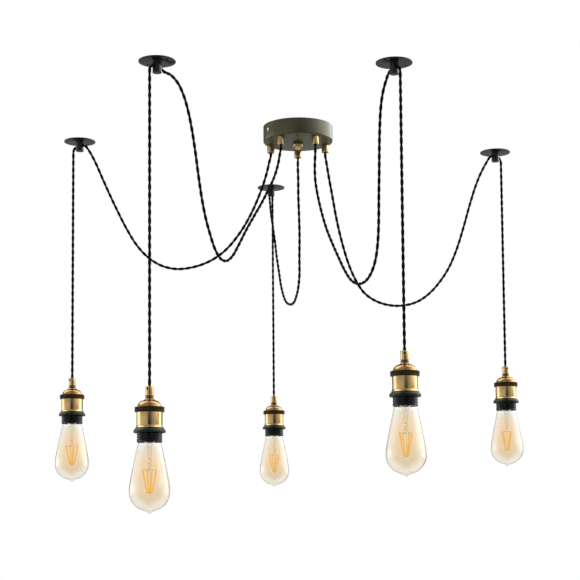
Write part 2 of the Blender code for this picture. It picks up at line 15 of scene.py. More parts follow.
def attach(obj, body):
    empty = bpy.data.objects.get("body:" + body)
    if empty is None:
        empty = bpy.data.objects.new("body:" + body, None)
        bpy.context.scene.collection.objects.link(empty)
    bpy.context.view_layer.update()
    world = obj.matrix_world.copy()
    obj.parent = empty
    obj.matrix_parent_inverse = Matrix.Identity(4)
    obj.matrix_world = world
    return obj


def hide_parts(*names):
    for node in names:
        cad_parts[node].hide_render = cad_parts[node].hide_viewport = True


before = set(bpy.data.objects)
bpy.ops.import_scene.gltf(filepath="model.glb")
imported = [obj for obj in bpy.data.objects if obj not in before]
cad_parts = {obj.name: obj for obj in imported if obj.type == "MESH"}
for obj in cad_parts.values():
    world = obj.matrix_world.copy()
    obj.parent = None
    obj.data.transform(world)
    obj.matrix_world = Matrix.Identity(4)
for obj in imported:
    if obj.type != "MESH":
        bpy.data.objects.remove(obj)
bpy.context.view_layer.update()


# Camera: a long lens just under the lamps, tipped five degrees up, as in the photograph.
# The shift keeps the cords upright in the picture.
CAMERA_PLACE = (-0.019, -2.626, -0.7392)
CAMERA_PITCH = math.radians(5)
CAMERA_ROLL = -0.0084
LENS_MM = 88.45
SENSOR_MM = 36
SHIFT_UP = 0.1843


def stand(name, data, axes, place):
    """Puts a camera or lamp in the scene: its matrix has right, up and backward as columns."""
    thing = bpy.data.objects.new(name, data)
    bpy.context.scene.collection.objects.link(thing)
    pose = np.eye(4)
    pose[:3, :3] = np.column_stack(axes)
    pose[:3, 3] = place
    thing.matrix_world = Matrix(pose.tolist())
    return thing


def set_up_camera():
    """A level view that is tipped up by the pitch, then turned about its own axis by the roll."""
    forward = np.array([0, math.cos(CAMERA_PITCH), math.sin(CAMERA_PITCH)])
    level = np.array([1, 0, 0])
    upright = np.cross(level, forward)
    right = math.cos(CAMERA_ROLL) * level + math.sin(CAMERA_ROLL) * upright
    data = bpy.data.cameras.new("camera")
    data.lens = LENS_MM
    data.sensor_width = SENSOR_MM
    data.shift_y = SHIFT_UP
    axes = [right, np.cross(right, forward), -forward]
    bpy.context.scene.camera = stand("camera", data, axes, CAMERA_PLACE)


set_up_camera()
bpy.context.scene.view_settings.view_transform = "Standard"


# Room: a white studio with a low soft box at the left, a tall one at the right and a pale floor.
# A dark gap behind the camera and a dark back give brass its upright dark bands and edges. In
# gloss the soft boxes are strips of the room, about as bright as their watts over their size.
FLOOR_HEIGHT = -1.9
FLOOR_SIZE = 5.0
FLOOR_WHITES = ("#f2f1ef", "#efefef")
FLOOR_PATCHES = 3.0  # to the metre
ROOM_LIGHT = 0.6
GLOSS_LEVEL = (  # degrees from the camera to the right, and how bright the room is there
    (-180, 0.12), (-150, 0.12), (-136, 0.35), (-127, 2.2), (-92, 2.3), (-82, 1.0), (-57, 0.9),
    (-37, 0.78), (-14, 0.62), (-7, 0.03), (14, 0.03), (23, 0.26), (37, 0.5), (57, 0.64),
    (80, 0.72), (88, 0.9), (94, 2.8), (126, 2.8), (136, 0.7), (150, 0.15), (180, 0.12),
)
GLOSS_ABOVE = (  # the same for what lies higher than the lamps
    (-180, 0.12), (-140, 0.15), (-116, 0.25), (-98, 0.3), (-84, 0.32), (-60, 0.45), (-14, 0.5),
    (4, 0.3), (20, 0.5), (40, 0.75), (54, 1.3), (66, 2.1), (78, 2.9), (110, 3.0), (142, 3.0),
    (162, 0.6), (180, 0.12),
)
GLOSS_HIGH = (  # and for what lies much higher
    (-180, 0.12), (-142, 0.4), (-130, 3.0), (-90, 3.0), (-80, 0.9), (-50, 0.6), (-14, 0.5),
    (4, 0.3), (20, 0.4), (56, 0.8), (80, 1.2), (92, 3.0), (134, 3.0), (150, 0.4), (180, 0.12),
)
GLOSS_BELOW = 0.3
GLOSS_MOST = 3.0
ABOVE_HEIGHTS = (0.14, 0.24)  # sines of the heights over the horizon where the room changes
HIGH_HEIGHTS = (0.36, 0.5)
BELOW_HEIGHTS = (-0.05, -0.15)
SOFT_BOXES = (  # name, place, width, height, watts
    ("left_box", (-2.4, -0.15, -0.85), 0.8, 1.6, 8),
    ("right_box", (2.25, 0.75, 0.0), 1.2, 2.4, 24),
)
SOFT_BOX_AIM = (0, 0, -0.4)
UP = np.array([0, 0, 1.0])


def unit(vectors):
    """Each vector over its own length."""
    return vectors / np.linalg.norm(vectors, axis=-1, keepdims=True)


def hex_colour(code):
    """An sRGB hex code as linear red, green, blue and alpha."""
    srgb = np.array([int(code[i : i + 2], 16) for i in (1, 3, 5)]) / 255
    linear = np.where(srgb <= 0.04045, srgb / 12.92, ((srgb + 0.055) / 1.055) ** 2.4)
    return (*linear.tolist(), 1.0)


def node(tree, kind, inputs=(), **settings):
    """Adds one node: settings are its own, inputs go by socket, and each is a value, an output of
    another node, or a node, which stands for its first output."""
    made = tree.nodes.new("ShaderNode" + kind)
    for name, value in settings.items():
        setattr(made, name, value)
    for name, value in dict(inputs).items():
        if isinstance(value, bpy.types.Node):
            value = value.outputs[0]
        if isinstance(value, bpy.types.NodeSocket):
            tree.links.new(value, made.inputs[name])
        else:
            made.inputs[name].default_value = value
    return made


def new_material(name, **sockets):
    """A Principled material with its constant sockets set; gives the material, tree and shader."""
    made = bpy.data.materials.new(name)
    made.use_nodes = True
    shader = made.node_tree.nodes["Principled BSDF"]
    for socket, value in sockets.items():
        shader.inputs[socket.replace("_", " ")].default_value = value
    return made, made.node_tree, shader


def dress(tree, shader, tone, colours, gloss=None, relief=None):
    """Ties a material's patterns to its shader: the tone mixes two hex colours, gloss is a
    pattern, its two ends and the roughness at each, and relief a height, strength and depth."""
    tint = node(tree, "MixRGB", {0: tone, 1: hex_colour(colours[0]), 2: hex_colour(colours[1])})
    tree.links.new(tint.outputs[0], shader.inputs["Base Color"])
    if gloss:
        rough = node(tree, "MapRange", enumerate(gloss))
        tree.links.new(rough.outputs[0], shader.inputs["Roughness"])
    if relief:
        bump = node(tree, "Bump", zip(("Height", "Strength", "Distance"), relief))
        tree.links.new(bump.outputs[0], shader.inputs["Normal"])


def grey(value):
    """A colour with one value for red, green and blue."""
    return (value, value, value, 1)


def round_ramp(tree, share, stops):
    """Brightness by bearing: a ramp over one whole turn, starting and ending behind the light."""
    steps = node(tree, "ValToRGB", {0: share})
    ramp = steps.color_ramp
    while len(ramp.elements) < len(stops):
        ramp.elements.new(1.0)
    for element, (degrees, value) in zip(ramp.elements, stops):
        element.position = degrees / 360 + 0.5
        element.color = grey(value / GLOSS_MOST)
    return steps


def light_room():
    """White for the camera and through glass; for gloss, brightness goes by bearing and height."""
    world = bpy.data.worlds.new("studio")
    world.use_nodes = True
    tree = world.node_tree
    tree.nodes.clear()
    path = node(tree, "LightPath").outputs
    axes = node(tree, "SeparateXYZ", {0: node(tree, "TexCoord").outputs["Generated"]}).outputs
    backward = node(tree, "Math", {0: axes["Y"], 1: -1.0}, operation="MULTIPLY")
    bearing = node(tree, "Math", {0: axes["X"], 1: backward}, operation="ARCTAN2")
    share = node(tree, "MapRange", {0: bearing, 1: -math.pi, 2: math.pi})
    gloss = round_ramp(tree, share, GLOSS_LEVEL)
    zones = [
        (ABOVE_HEIGHTS, round_ramp(tree, share, GLOSS_ABOVE)),
        (HIGH_HEIGHTS, round_ramp(tree, share, GLOSS_HIGH)),
        (BELOW_HEIGHTS, grey(GLOSS_BELOW / GLOSS_MOST)),
    ]
    for (begins, full), tone in zones:
        into = node(tree, "MapRange", {0: axes["Z"], 1: begins, 2: full})
        gloss = node(tree, "MixRGB", {0: into, 1: gloss, 2: tone})
    glossy = node(tree, "Background", {"Color": gloss, "Strength": GLOSS_MOST})
    plain = node(tree, "Background", {"Color": grey(1), "Strength": ROOM_LIGHT})
    white = node(tree, "Background", {"Color": grey(1), "Strength": 1.0})
    rays = {0: path["Is Camera Ray"], 1: path["Is Transmission Ray"]}
    clear = node(tree, "Math", rays, operation="MAXIMUM")
    lit = node(tree, "MixShader", {0: path["Is Glossy Ray"], 1: plain, 2: glossy})
    shown = node(tree, "MixShader", {0: clear, 1: lit, 2: white})
    node(tree, "OutputWorld", {0: shown})
    bpy.context.scene.world = world
    for name, place, width, height, watts in SOFT_BOXES:
        data = bpy.data.lights.new(name, "AREA")
        data.shape = "RECTANGLE"
        data.size = width
        data.size_y = height
        data.energy = watts
        away = unit(np.array(place) - SOFT_BOX_AIM)
        across = unit(np.cross(UP, away))
        lamp = stand(name, data, [across, np.cross(away, across), away], place)
        lamp.visible_camera = lamp.visible_glossy = lamp.visible_transmission = False


def lay_floor():
    """One flat square, well under the lamps."""
    half = FLOOR_SIZE / 2
    square = [(-half, -half), (half, -half), (half, half), (-half, half)]
    mesh = bpy.data.meshes.new("floor")
    mesh.from_pydata([(x, y, FLOOR_HEIGHT) for x, y in square], [], [(0, 1, 2, 3)])
    floor = bpy.data.objects.new("floor", mesh)
    bpy.context.scene.collection.objects.link(floor)
    paint, tree, shader = new_material("matt_white_floor", Roughness=0.9)
    place = node(tree, "TexCoord").outputs["Object"]
    patches = node(tree, "TexNoise", {"Vector": place, "Scale": FLOOR_PATCHES})
    dress(tree, shader, patches, FLOOR_WHITES)
    mesh.materials.append(paint)


light_room()
lay_floor()


# Cords: two insulated cores, each braided in black textile, twisted round each other.
# Each leaves a grip under the canopy, sags to its hook, runs through the hook's post and hangs
# down to its lamp. The route's points are the frame's own.
CORD_DIAMETER = 0.0054
CORD_PITCH = 0.027
CORD_STATION = 0.0012
CORD_SIDES = 12
STRAND_RADIUS = 0.00175
STRAND_GAP = 0.00002  # left on each side of the cord's middle, where the strands press flat
GAP = 0.0003  # between pieces that fit together
GRIP_FACE = -0.0453
GRIP_RING = 0.054
INTO_GRIP = 0.003
CORD_HEIGHT = -0.0095
POST_RADIUS = 0.0075
HANG_OUT = 0.018
HANG_BEND = 0.011
HANG_BEND_POINTS = 12
LEAD_IN = 0.017
LEAD_DIP = 0.004
PENDANTS = {  # bearings in degrees
    "a": {"grip": 162, "hook": (-0.423, 0.088), "out": 142, "top": -0.461},
    "b": {"grip": 234, "hook": (-0.228, -0.392), "out": 234, "top": -0.5265},
    "c": {"grip": 306, "hook": (0.154, -0.375), "out": 298, "top": -0.472},
    "d": {"grip": 18, "hook": (0.399, 0.196), "out": 43, "top": -0.434},
    "e": {"grip": 90, "hook": (-0.057, 0.484), "out": 82, "top": -0.4635},
}
SAGS_MM = {  # from grip to hook in millimetres: along, down and aside
    "a": (
        (3, 9, 20, 39, 62, 90, 120, 153, 185, 215, 241, 263, 284, 302, 318, 332, 344, 354),
        (62, 86, 118, 160, 197, 228, 247, 257, 259, 251, 234, 210, 176, 141, 107, 75, 47, 27),
        (0,) * 14 + (-1, -3, -5, -7),
    ),
    "b": (
        (4, 12, 26, 46, 73, 100, 128, 152, 172, 192, 211, 228, 243, 257, 269, 279, 288, 297, 308,
         321, 338, 359),
        (63, 86, 112, 138, 170, 199, 230, 259, 281, 293, 292, 279, 257, 231, 199, 163, 126, 94, 64,
         40, 22, 13),
        0,
    ),
    "c": (
        (-1, -4, -2, 8, 26, 50, 78, 108, 136, 164, 195, 226, 250, 268, 278, 283, 285, 288, 290, 293,
         298, 307, 320),
        (63, 86, 112, 140, 175, 212, 245, 277, 305, 326, 337, 337, 327, 308, 282, 248, 208, 165,
         125, 90, 60, 37, 21),
        0,
    ),
    "d": (
        (2, 7, 14, 23, 35, 49, 64, 82, 108, 140, 170, 200, 228, 253, 275, 294, 311, 326, 340, 352,
         364),
        (62, 90, 125, 171, 217, 257, 286, 308, 322, 328, 326, 317, 299, 274, 244, 206, 161, 117, 78,
         50, 29),
        (0,) * 18 + (1, 3, 4),
    ),
    "e": (
        (2, 6, 13, 20, 30, 42, 58, 80, 109, 143, 180, 213, 240, 266, 290, 311, 331, 349, 365, 380,
         397),
        (62, 83, 118, 154, 192, 229, 262, 286, 300, 304, 301, 291, 274, 247, 214, 178, 141, 106, 74,
         48, 27),
        (0, 1, 2, 4, 6, 7, 9, 9, 8, 8, 6, 3, 1, -1, -2, -4, -5, -7, -9, -9, -8),
    ),
}
BRAID_WIDTH = 0.0011  # a real plait of this cord is about half as wide, too fine to show here
FUZZ_PER_METRE = 900.0
FUZZ_SHARE = 0.35


def bearing_vector(degrees):
    """The unit vector on that bearing, on the level."""
    bearing = math.radians(degrees)
    return np.array([math.cos(bearing), math.sin(bearing), 0])


def smooth(route, per_span=32):
    """Catmull-Rom through the route, timed by the root of each distance; its ends are mirrored."""
    route = np.asarray(route, float)
    route = np.vstack([2 * route[0] - route[1], route, 2 * route[-1] - route[-2]])
    p0, p1, p2, p3 = (route[i : len(route) - 3 + i, None] for i in range(4))
    roots = np.sqrt(np.linalg.norm(np.diff(route, axis=0), axis=1))[:, None, None]
    t1 = roots[:-2]
    t2 = t1 + roots[1:-1]
    t3 = t2 + roots[2:]
    t = t1 + (t2 - t1) * (np.arange(per_span) / per_span)[None, :, None]
    a1 = p0 + (p1 - p0) * t / t1
    a2 = p1 + (p2 - p1) * (t - t1) / (t2 - t1)
    a3 = p2 + (p3 - p2) * (t - t2) / (t3 - t2)
    b1 = a1 + (a2 - a1) * t / t2
    b2 = a2 + (a3 - a2) * (t - t1) / (t3 - t1)
    curve = b1 + (b2 - b1) * (t - t1) / (t2 - t1)
    return np.vstack([curve.reshape(-1, route.shape[1]), route[-2]])


def even(curve, step):
    """The curve again at equal distances along it, and those distances."""
    steps = np.linalg.norm(np.diff(curve, axis=0), axis=1)
    walked = np.concatenate([[0], np.cumsum(steps)])
    stations = np.linspace(0, walked[-1], max(2, round(walked[-1] / step)) + 1)
    return np.column_stack([np.interp(stations, walked, axis) for axis in curve.T]), stations


def across_line(middle, side):
    """Two unit vectors square to a line and to each other, the first as near as can be to side."""
    along = unit(np.gradient(middle, axis=0))
    first = unit(side - (side * along).sum(1, keepdims=True) * along)
    return first, np.cross(along, first)


def tube_grid(middle, radius, side, sides):
    """Rings round a line: each is the line's point plus radius times a circle square to it."""
    first, second = across_line(middle, side)
    turn = 2 * math.pi * np.arange(sides)[None, :, None] / sides
    circle = np.cos(turn) * first[:, None] + np.sin(turn) * second[:, None]
    return middle[:, None] + radius * circle


def cell_corners(grid):
    """The four corners of each cell of a grid, in turn round the cell."""
    return np.stack([grid[:-1, :-1], grid[1:, :-1], grid[1:, 1:], grid[:-1, 1:]], 2)


def skin(name, grids, capped=False, looped=False, length_uv=None):
    """A mesh of one or more grids: rows run along or down, columns go round and meet.

    Each cell is one face. Caps close the first and last ring, looped joins the last row to the
    first, and points that fall together, as at a pole, become one.
    """
    points, faces, caps, uvs = [], [], [], []
    start = 0
    for grid in grids:
        rows, columns = grid.shape[:2]
        index = start + np.arange(rows * columns).reshape(rows, columns)
        if capped:
            caps += [index[0].tolist(), index[-1, ::-1].tolist()]
        index = np.hstack([index, index[:, :1]])
        if looped:
            index = np.vstack([index, index[:1]])
        faces += cell_corners(index).reshape(-1, 4).tolist()
        if length_uv is not None:
            uv = np.stack(np.meshgrid(np.linspace(0, 1, columns + 1), length_uv), -1)
            uvs.append(cell_corners(uv).reshape(-1, 2))
        points.append(grid.reshape(-1, 3))
        start += rows * columns
    mesh = bpy.data.meshes.new(name)
    mesh.from_pydata(np.vstack(points).tolist(), [], faces + caps)
    if length_uv is not None:
        layer = mesh.uv_layers.new(name="surface")
        flat = np.zeros((len(mesh.loops), 2))
        flat[: 4 * len(faces)] = np.vstack(uvs)
        layer.uv.foreach_set("vector", flat.ravel().astype(np.float32))
    obj = bpy.data.objects.new(name, mesh)
    bpy.context.scene.collection.objects.link(obj)
    weld(mesh)
    return obj


MERGE_DISTANCE = 2e-6
SHARP_ANGLE = math.radians(38)


def weld(mesh):
    """Joins points that fall together, and shades smooth but for sharp edges."""
    shape = bmesh.new()
    shape.from_mesh(mesh)
    bmesh.ops.remove_doubles(shape, verts=shape.verts, dist=MERGE_DISTANCE)
    shape.to_mesh(mesh)
    shape.free()
    mesh.shade_smooth()
    mesh.set_sharp_from_angle(angle=SHARP_ANGLE)


def braided_textile():
    """Matt black rayon plait over each core: diagonal ribs both ways, with a faint real sheen. A
    rib's height is the absolute sine of the sum or difference of the ways round and along. The
    colour
    follows that height too: lighter on the rib tops, a painted sheen, and darker between them,
    painted shade."""
    made, tree, shader = new_material(
        "black_braided_rayon",
        Roughness=0.85, Sheen_Weight=0.03, Sheen_Roughness=0.5, Specular_IOR_Level=0.08,
    )
    ribs_round = round(2 * math.pi * STRAND_RADIUS / BRAID_WIDTH)
    uv = node(tree, "UVMap", uv_map="surface")
    real = node(tree, "Mapping", {"Vector": uv, "Scale": (ribs_round, 1 / BRAID_WIDTH, 1)})
    axes = node(tree, "SeparateXYZ", {0: real}).outputs
    ribs = []
    for sign in ("ADD", "SUBTRACT"):
        slant = node(tree, "Math", {0: axes["X"], 1: axes["Y"]}, operation=sign)
        turn = node(tree, "Math", {0: slant, 1: math.pi}, operation="MULTIPLY")
        wave = node(tree, "Math", {0: turn}, operation="SINE")
        ribs.append(node(tree, "Math", {0: wave}, operation="ABSOLUTE"))
    rib_relief_and_painted_sheen = node(tree, "Math", enumerate(ribs), operation="MULTIPLY")
    place = node(tree, "TexCoord").outputs["Object"]
    fuzz = node(tree, "TexNoise", {"Vector": place, "Scale": FUZZ_PER_METRE})
    height = node(tree, "Math", {0: fuzz, 1: FUZZ_SHARE, 2: rib_relief_and_painted_sheen}, operation="MULTIPLY_ADD")
    # The tone is the rib height: painted sheen on the rib tops, painted shade in the grooves.
    dress(tree, shader, rib_relief_and_painted_sheen, ("#020202", "#121213"), relief=(height, 0.5, 0.0002))
    return made


def twisted_cord(name, centre, side):
    """Two strands in one mesh. Each strand's middle is the centreline plus its offset times a
    unit vector that turns once a pitch. Each strand is a tube round that line, and what would
    pass the cord's middle is moved back to it, since the soft strands flatten on each other."""
    middle, walked = even(centre, CORD_STATION)
    first, second = across_line(middle, side)
    turn = (2 * math.pi * walked / CORD_PITCH)[:, None]
    grids = []
    for half in (0, math.pi):
        out = np.cos(turn + half) * first + np.sin(turn + half) * second
        strand = middle + (CORD_DIAMETER / 2 - STRAND_RADIUS) * out
        grid = tube_grid(strand, STRAND_RADIUS, out, CORD_SIDES)[:, ::-1]
        outward = ((grid - middle[:, None]) * out[:, None]).sum(2, keepdims=True)
        grids.append(grid + np.maximum(STRAND_GAP - outward, 0) * out[:, None])
    piece = skin(name, grids, capped=True, length_uv=walked)
    piece.data.materials.append(CORD_TEXTILE)
    return piece, middle, walked[-1]


def lay_cord(kind, letter, centre, side, body):
    """One stretch of a cord, put on its body in place of its CAD node."""
    cord, line, length = twisted_cord(f"twisted_{kind}_cord_{letter}", centre, side)
    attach(cord, body)
    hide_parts(f"{kind}_cord_{letter}")


CORD_TEXTILE = braided_textile()
for letter, pendant in PENDANTS.items():
    start = GRIP_RING * bearing_vector(pendant["grip"])
    hook = np.array([*pendant["hook"], 0])
    out = bearing_vector(pendant["out"])
    along = unit(hook - start)
    aside = np.cross(along, UP)
    route = [start + UP * GRIP_FACE, start + UP * (GRIP_FACE - CORD_DIAMETER)]
    far, down, apart = (np.array(row)[..., None] / 1000 for row in SAGS_MM[letter])
    route += list(start + along * far - UP * down + aside * apart)
    route.append(hook - out * LEAD_IN + UP * (CORD_HEIGHT - LEAD_DIP))
    route.append(hook - out * POST_RADIUS + UP * CORD_HEIGHT)
    route.append(hook - out * GAP / 2 + UP * CORD_HEIGHT)
    swag = np.vstack([start + UP * (GRIP_FACE + INTO_GRIP), smooth(route)])
    lay_cord("swag", letter, swag, aside, "ceiling_parts")
    turns = np.linspace(math.pi / 2, 0, HANG_BEND_POINTS)[:, None]
    bend = out * (HANG_OUT - HANG_BEND + HANG_BEND * np.cos(turns))
    bend = hook + UP * CORD_HEIGHT + (bend + UP * HANG_BEND * (np.sin(turns) - 1))
    foot = hook + out * HANG_OUT + UP * (pendant["top"] - INTO_GRIP)
    drop = np.vstack([hook + out * GAP / 2 + UP * CORD_HEIGHT, bend, foot])
    lay_cord("drop", letter, drop, np.cross(out, UP), "pendant_" + letter)


# Canopy: a cup spun from steel, open at the ceiling, with a rolled lower edge.
# It is powder coated in a dark olive gunmetal that is smooth enough to mirror the grips faintly.
CANOPY_RADIUS = 0.065
CANOPY_DEPTH = 0.030
CANOPY_WALL = 0.0012
CANOPY_EDGE = 0.003
STUD_HOLE = 0.0033
EASE_POINTS = 6
CLOUDS_PER_METRE = 30.0


def parabola(begin, corner, end, fine):
    """The curve from begin to end whose two tangents meet at the corner."""
    t = np.linspace(0, 1, fine)[:, None]
    return (1 - t) ** 2 * begin + 2 * t * (1 - t) * corner + t**2 * end


def eased(*corners):
    """A profile whose corners are rounded: each corner is (radius, height, ease), and a corner
    with an ease becomes a parabola that leaves its straight sides that far from the corner."""
    *spots, eases = np.array(corners, float).T
    spots = np.column_stack(spots)
    points = []
    for i, (here, ease) in enumerate(zip(spots, eases)):
        if ease == 0:
            points.append(here)
            continue
        begin = here + ease * unit(spots[i - 1] - here)
        end = here + ease * unit(spots[(i + 1) % len(spots)] - here)
        points.append(parabola(begin, here, end, EASE_POINTS))
    return np.vstack(points)


def turned(name, profile, at=(0, 0, 0), axes=np.eye(3), *, steps, looped=False, ripple=None):
    """A surface of revolution: each profile point (radius, height) goes once round the axis.

    A point of it is at + radius (cos t x + sin t y) + height z, where x, y and z are the rows of
    axes; ripple adds a change of radius that depends on radius, height and t.
    """
    radius, height = np.asarray(profile, float).T[:, :, None]
    t = 2 * math.pi * np.arange(steps)[None] / steps
    if ripple is not None:
        radius = radius + ripple(radius, height, t)
    x, y, z = (axis[None, None] for axis in np.asarray(axes, float))
    grid = (radius * np.cos(t))[..., None] * x + (radius * np.sin(t))[..., None] * y
    grid = np.asarray(at) + grid + (height + 0 * t)[..., None] * z
    return skin(name, [grid], looped=looped)


def finish(piece, material, body, stands_for=(), origin=(0, 0, 0)):
    """Gives a piece its material, coordinates from its own middle and its body, and hides the CAD
    nodes it stands for.
    """
    mesh = piece.data
    mesh.materials.clear()
    mesh.materials.append(material)
    places = np.empty(3 * len(mesh.vertices), np.float32)
    mesh.vertices.foreach_get("co", places)
    own = mesh.attributes.new("own_place", "FLOAT_VECTOR", "POINT")
    places = places.reshape(-1, 3) - np.asarray(origin, np.float32)
    own.data.foreach_set("vector", places.ravel())
    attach(piece, body)
    if stands_for:
        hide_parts(*stands_for)


def powder_coat(name, colours, metallic, roughness, grain, coat):
    """Baked powder: a fine pebble from the grains that melted together, and slow shade changes."""
    made, tree, shader = new_material(
        name, Metallic=metallic, Coat_Weight=coat, Coat_Roughness=0.1, Specular_IOR_Level=0.3
    )
    place = node(tree, "Attribute", attribute_name="own_place").outputs["Vector"]
    slow = node(tree, "TexNoise", {"Vector": place, "Scale": CLOUDS_PER_METRE, "Detail": 2.0})
    pebble = node(tree, "TexNoise", {"Vector": place, "Scale": 1 / grain, "Detail": 2.0})
    gloss = (pebble, 0.3, 0.7, roughness * 0.85, roughness * 1.15)
    dress(tree, shader, slow, colours, gloss, relief=(pebble, 0.12, grain / 4))
    return made


CANOPY_COAT = powder_coat(
    "olive_gunmetal_powder_coat", ("#43422a", "#504e34"), 0.55, 0.33, 0.0008, coat=0.5
)
inner = CANOPY_RADIUS - CANOPY_WALL
cup_floor = CANOPY_WALL - CANOPY_DEPTH
cup_profile = eased(
    (inner, 0, 0.0003),
    (CANOPY_RADIUS, 0, 0.0004),
    (CANOPY_RADIUS, -CANOPY_DEPTH, CANOPY_EDGE),
    (STUD_HOLE, -CANOPY_DEPTH, 0),
    (STUD_HOLE, cup_floor, 0),
    (inner, cup_floor, CANOPY_EDGE - CANOPY_WALL),
)
cup = turned("spun_canopy_cup", cup_profile, steps=160, looped=True)
finish(cup, CANOPY_COAT, "ceiling_parts", ["canopy_cup"])


# Ceiling strap and stud: a zinc-plated steel strip, bent down at both ends, that is screwed to the
# ceiling. The canopy hangs on its stud under the ball nut, and two side screws steady the cup.
# The two solids are shown as they are.
SPANGLES_PER_METRE = 260.0


def zinc_plate():
    """Passivated zinc: grey, with a soft crystal mottle in its tone and gloss."""
    made, tree, shader = new_material("zinc_plated_steel", Metallic=1.0)
    place = node(tree, "TexCoord").outputs["Object"]
    mottle = node(tree, "TexVoronoi", {"Vector": place, "Scale": SPANGLES_PER_METRE})
    dress(tree, shader, mottle, ("#a5a6a3", "#c6c5bd"), gloss=(mottle, 0.0, 0.6, 0.28, 0.5))
    return made


ZINC = zinc_plate()
for name in ("ceiling_strap", "canopy_stud"):
    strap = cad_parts[name]
    strap.data.materials.clear()
    strap.data.materials.append(ZINC)


# Canopy's side screws: two small bright pan-head screws that pass through the cup into the strap's
# ears. They are nickel plated and have a round driving recess.
STRAP_TURN = 32  # degrees from +X to the strap's length
SIDE_SCREWS = {"left": STRAP_TURN + 180, "right": STRAP_TURN}
SCREW_HEIGHT = -0.014
SCREW_HEAD_RADIUS = 0.0032
SCREW_HEAD_HEIGHT = 0.0018
SCREW_RECESS = 0.0011
SCREW_SHANK = 0.006
RECESS_FLOOR = 0.3  # as shares of a head's height
HEAD_BRIM = 0.2
SHANK_SHARE = 0.55  # of the head's radius
BLOTCHES_PER_METRE = 90.0


def brushed_metal(name, colours, roughness, grain, stretch, streak=0.25):
    """Metal with fine lines from its last polish: noise that is stretched along the lines sets the
    tone, the gloss and a slight bump."""
    made, tree, shader = new_material(name, Metallic=1.0)
    place = node(tree, "Attribute", attribute_name="own_place").outputs["Vector"]
    lines = node(tree, "Mapping", {"Vector": place, "Scale": [value / grain for value in stretch]})
    fine = node(tree, "TexNoise", {"Vector": lines, "Scale": 1.0, "Detail": 3.0})
    slow = node(tree, "TexNoise", {"Vector": place, "Scale": BLOTCHES_PER_METRE, "Detail": 3.0})
    both = node(tree, "Math", {0: fine, 1: streak, 2: slow}, operation="MULTIPLY_ADD")
    share = node(tree, "MapRange", {0: both, 1: 0.35, 2: 0.9})
    gloss = (fine, 0.3, 0.7, roughness * 0.75, roughness * 1.3)
    dress(tree, shader, share, colours, gloss, relief=(fine, 0.06, grain / 2))
    return made


NICKEL = brushed_metal("nickel_plate", ("#c9c6bd", "#e6e3da"), 0.18, 0.0006, (1, 1, 1))


def screw(name, radius, height, recess, shank, place, axis):
    """A low dome with a round recess: the dome is a quarter ellipse down to the head's edge."""
    turn = np.linspace(math.pi / 2, 0, 10)
    dome = np.column_stack([recess + (radius - recess) * np.cos(turn), height * np.sin(turn)])
    floor = RECESS_FLOOR * height
    brim = -HEAD_BRIM * height
    thread = SHANK_SHARE * radius
    below = [(radius, brim), (thread, brim), (thread, brim - shank), (0, brim - shank)]
    profile = np.vstack([[(0, floor), (recess, floor)], dome, below])
    side = unit(np.cross(UP, axis))
    return turned(name, profile, place, (side, np.cross(axis, side), axis), steps=32)


for word, bearing in SIDE_SCREWS.items():
    axis = bearing_vector(bearing)
    place = axis * (CANOPY_RADIUS + HEAD_BRIM * SCREW_HEAD_HEIGHT) + UP * SCREW_HEIGHT
    head = (SCREW_HEAD_RADIUS, SCREW_HEAD_HEIGHT, SCREW_RECESS, SCREW_SHANK)
    side_screw = screw("canopy_side_screw_" + word, *head, place, axis)
    finish(side_screw, NICKEL, "ceiling_parts", origin=place)


# Ball nut: a turned brass ball, blind tapped, that screws onto the stud and clamps the canopy.
# It is polished and lacquered, and cut flat where it meets the canopy.
BALL_RADIUS = 0.010
BALL_FLAT_RADIUS = 0.009
BALL_BORE_DEPTH = 0.0098
BRASS = brushed_metal("polished_brass", ("#b69b67", "#d3bc8b"), 0.17, 0.0005, (0.15, 0.15, 1))
under_canopy = -(CANOPY_DEPTH + GAP)
bore_end = under_canopy - BALL_BORE_DEPTH
shoulder = math.acos(BALL_FLAT_RADIUS / BALL_RADIUS)
middle = under_canopy - BALL_RADIUS * math.sin(shoulder)
turn = np.linspace(shoulder, -math.pi / 2, 40)
ball_profile = np.column_stack([BALL_RADIUS * np.cos(turn), middle + BALL_RADIUS * np.sin(turn)])
ball_bore = [(0, bore_end), (STUD_HOLE, bore_end), (STUD_HOLE, under_canopy)]
ball = turned("brass_ball_nut", np.vstack([ball_bore, ball_profile]), steps=64)
finish(ball, BRASS, "ceiling_parts", ["ball_nut"], origin=(0, 0, middle))


# Canopy cord grips: five brass bushes that are held by locknuts inside the cup. Each is turned,
# polished, and pinches its cord with a small screw in its side.
GRIP_RADIUS = 0.0068
GRIP_LENGTH = 0.015
GRIP_BORE = 0.0031
GRIP_THREAD = 0.0047
THREAD_REACH = 0.0035  # above the cup's floor
NUT_RADIUS = 0.0074
NUT_HEIGHT = 0.0022
NUT_PLAY = 0.0001
PINCH_DOWN = 0.45  # of the grip's length
PINCH_SCREW = (0.0016, 0.0006, 0.0006, 0.002)  # radius, height, recess and shank
thread_top = cup_floor + THREAD_REACH
grip_foot = under_canopy - GRIP_LENGTH
grip_profile = eased(
    (GRIP_BORE, thread_top, 0),
    (GRIP_THREAD, thread_top, 0.0004),
    (GRIP_THREAD, under_canopy, 0),
    (GRIP_RADIUS, under_canopy, 0.0004),
    (GRIP_RADIUS, grip_foot, 0.0009),
    (GRIP_BORE, grip_foot, 0.0005),
)
nut_foot = cup_floor + NUT_PLAY
nut_profile = eased(
    (GRIP_THREAD + NUT_PLAY, nut_foot + NUT_HEIGHT, 0),
    (NUT_RADIUS, nut_foot + NUT_HEIGHT, 0.0003),
    (NUT_RADIUS, nut_foot, 0),
    (GRIP_THREAD + NUT_PLAY, nut_foot, 0),
)
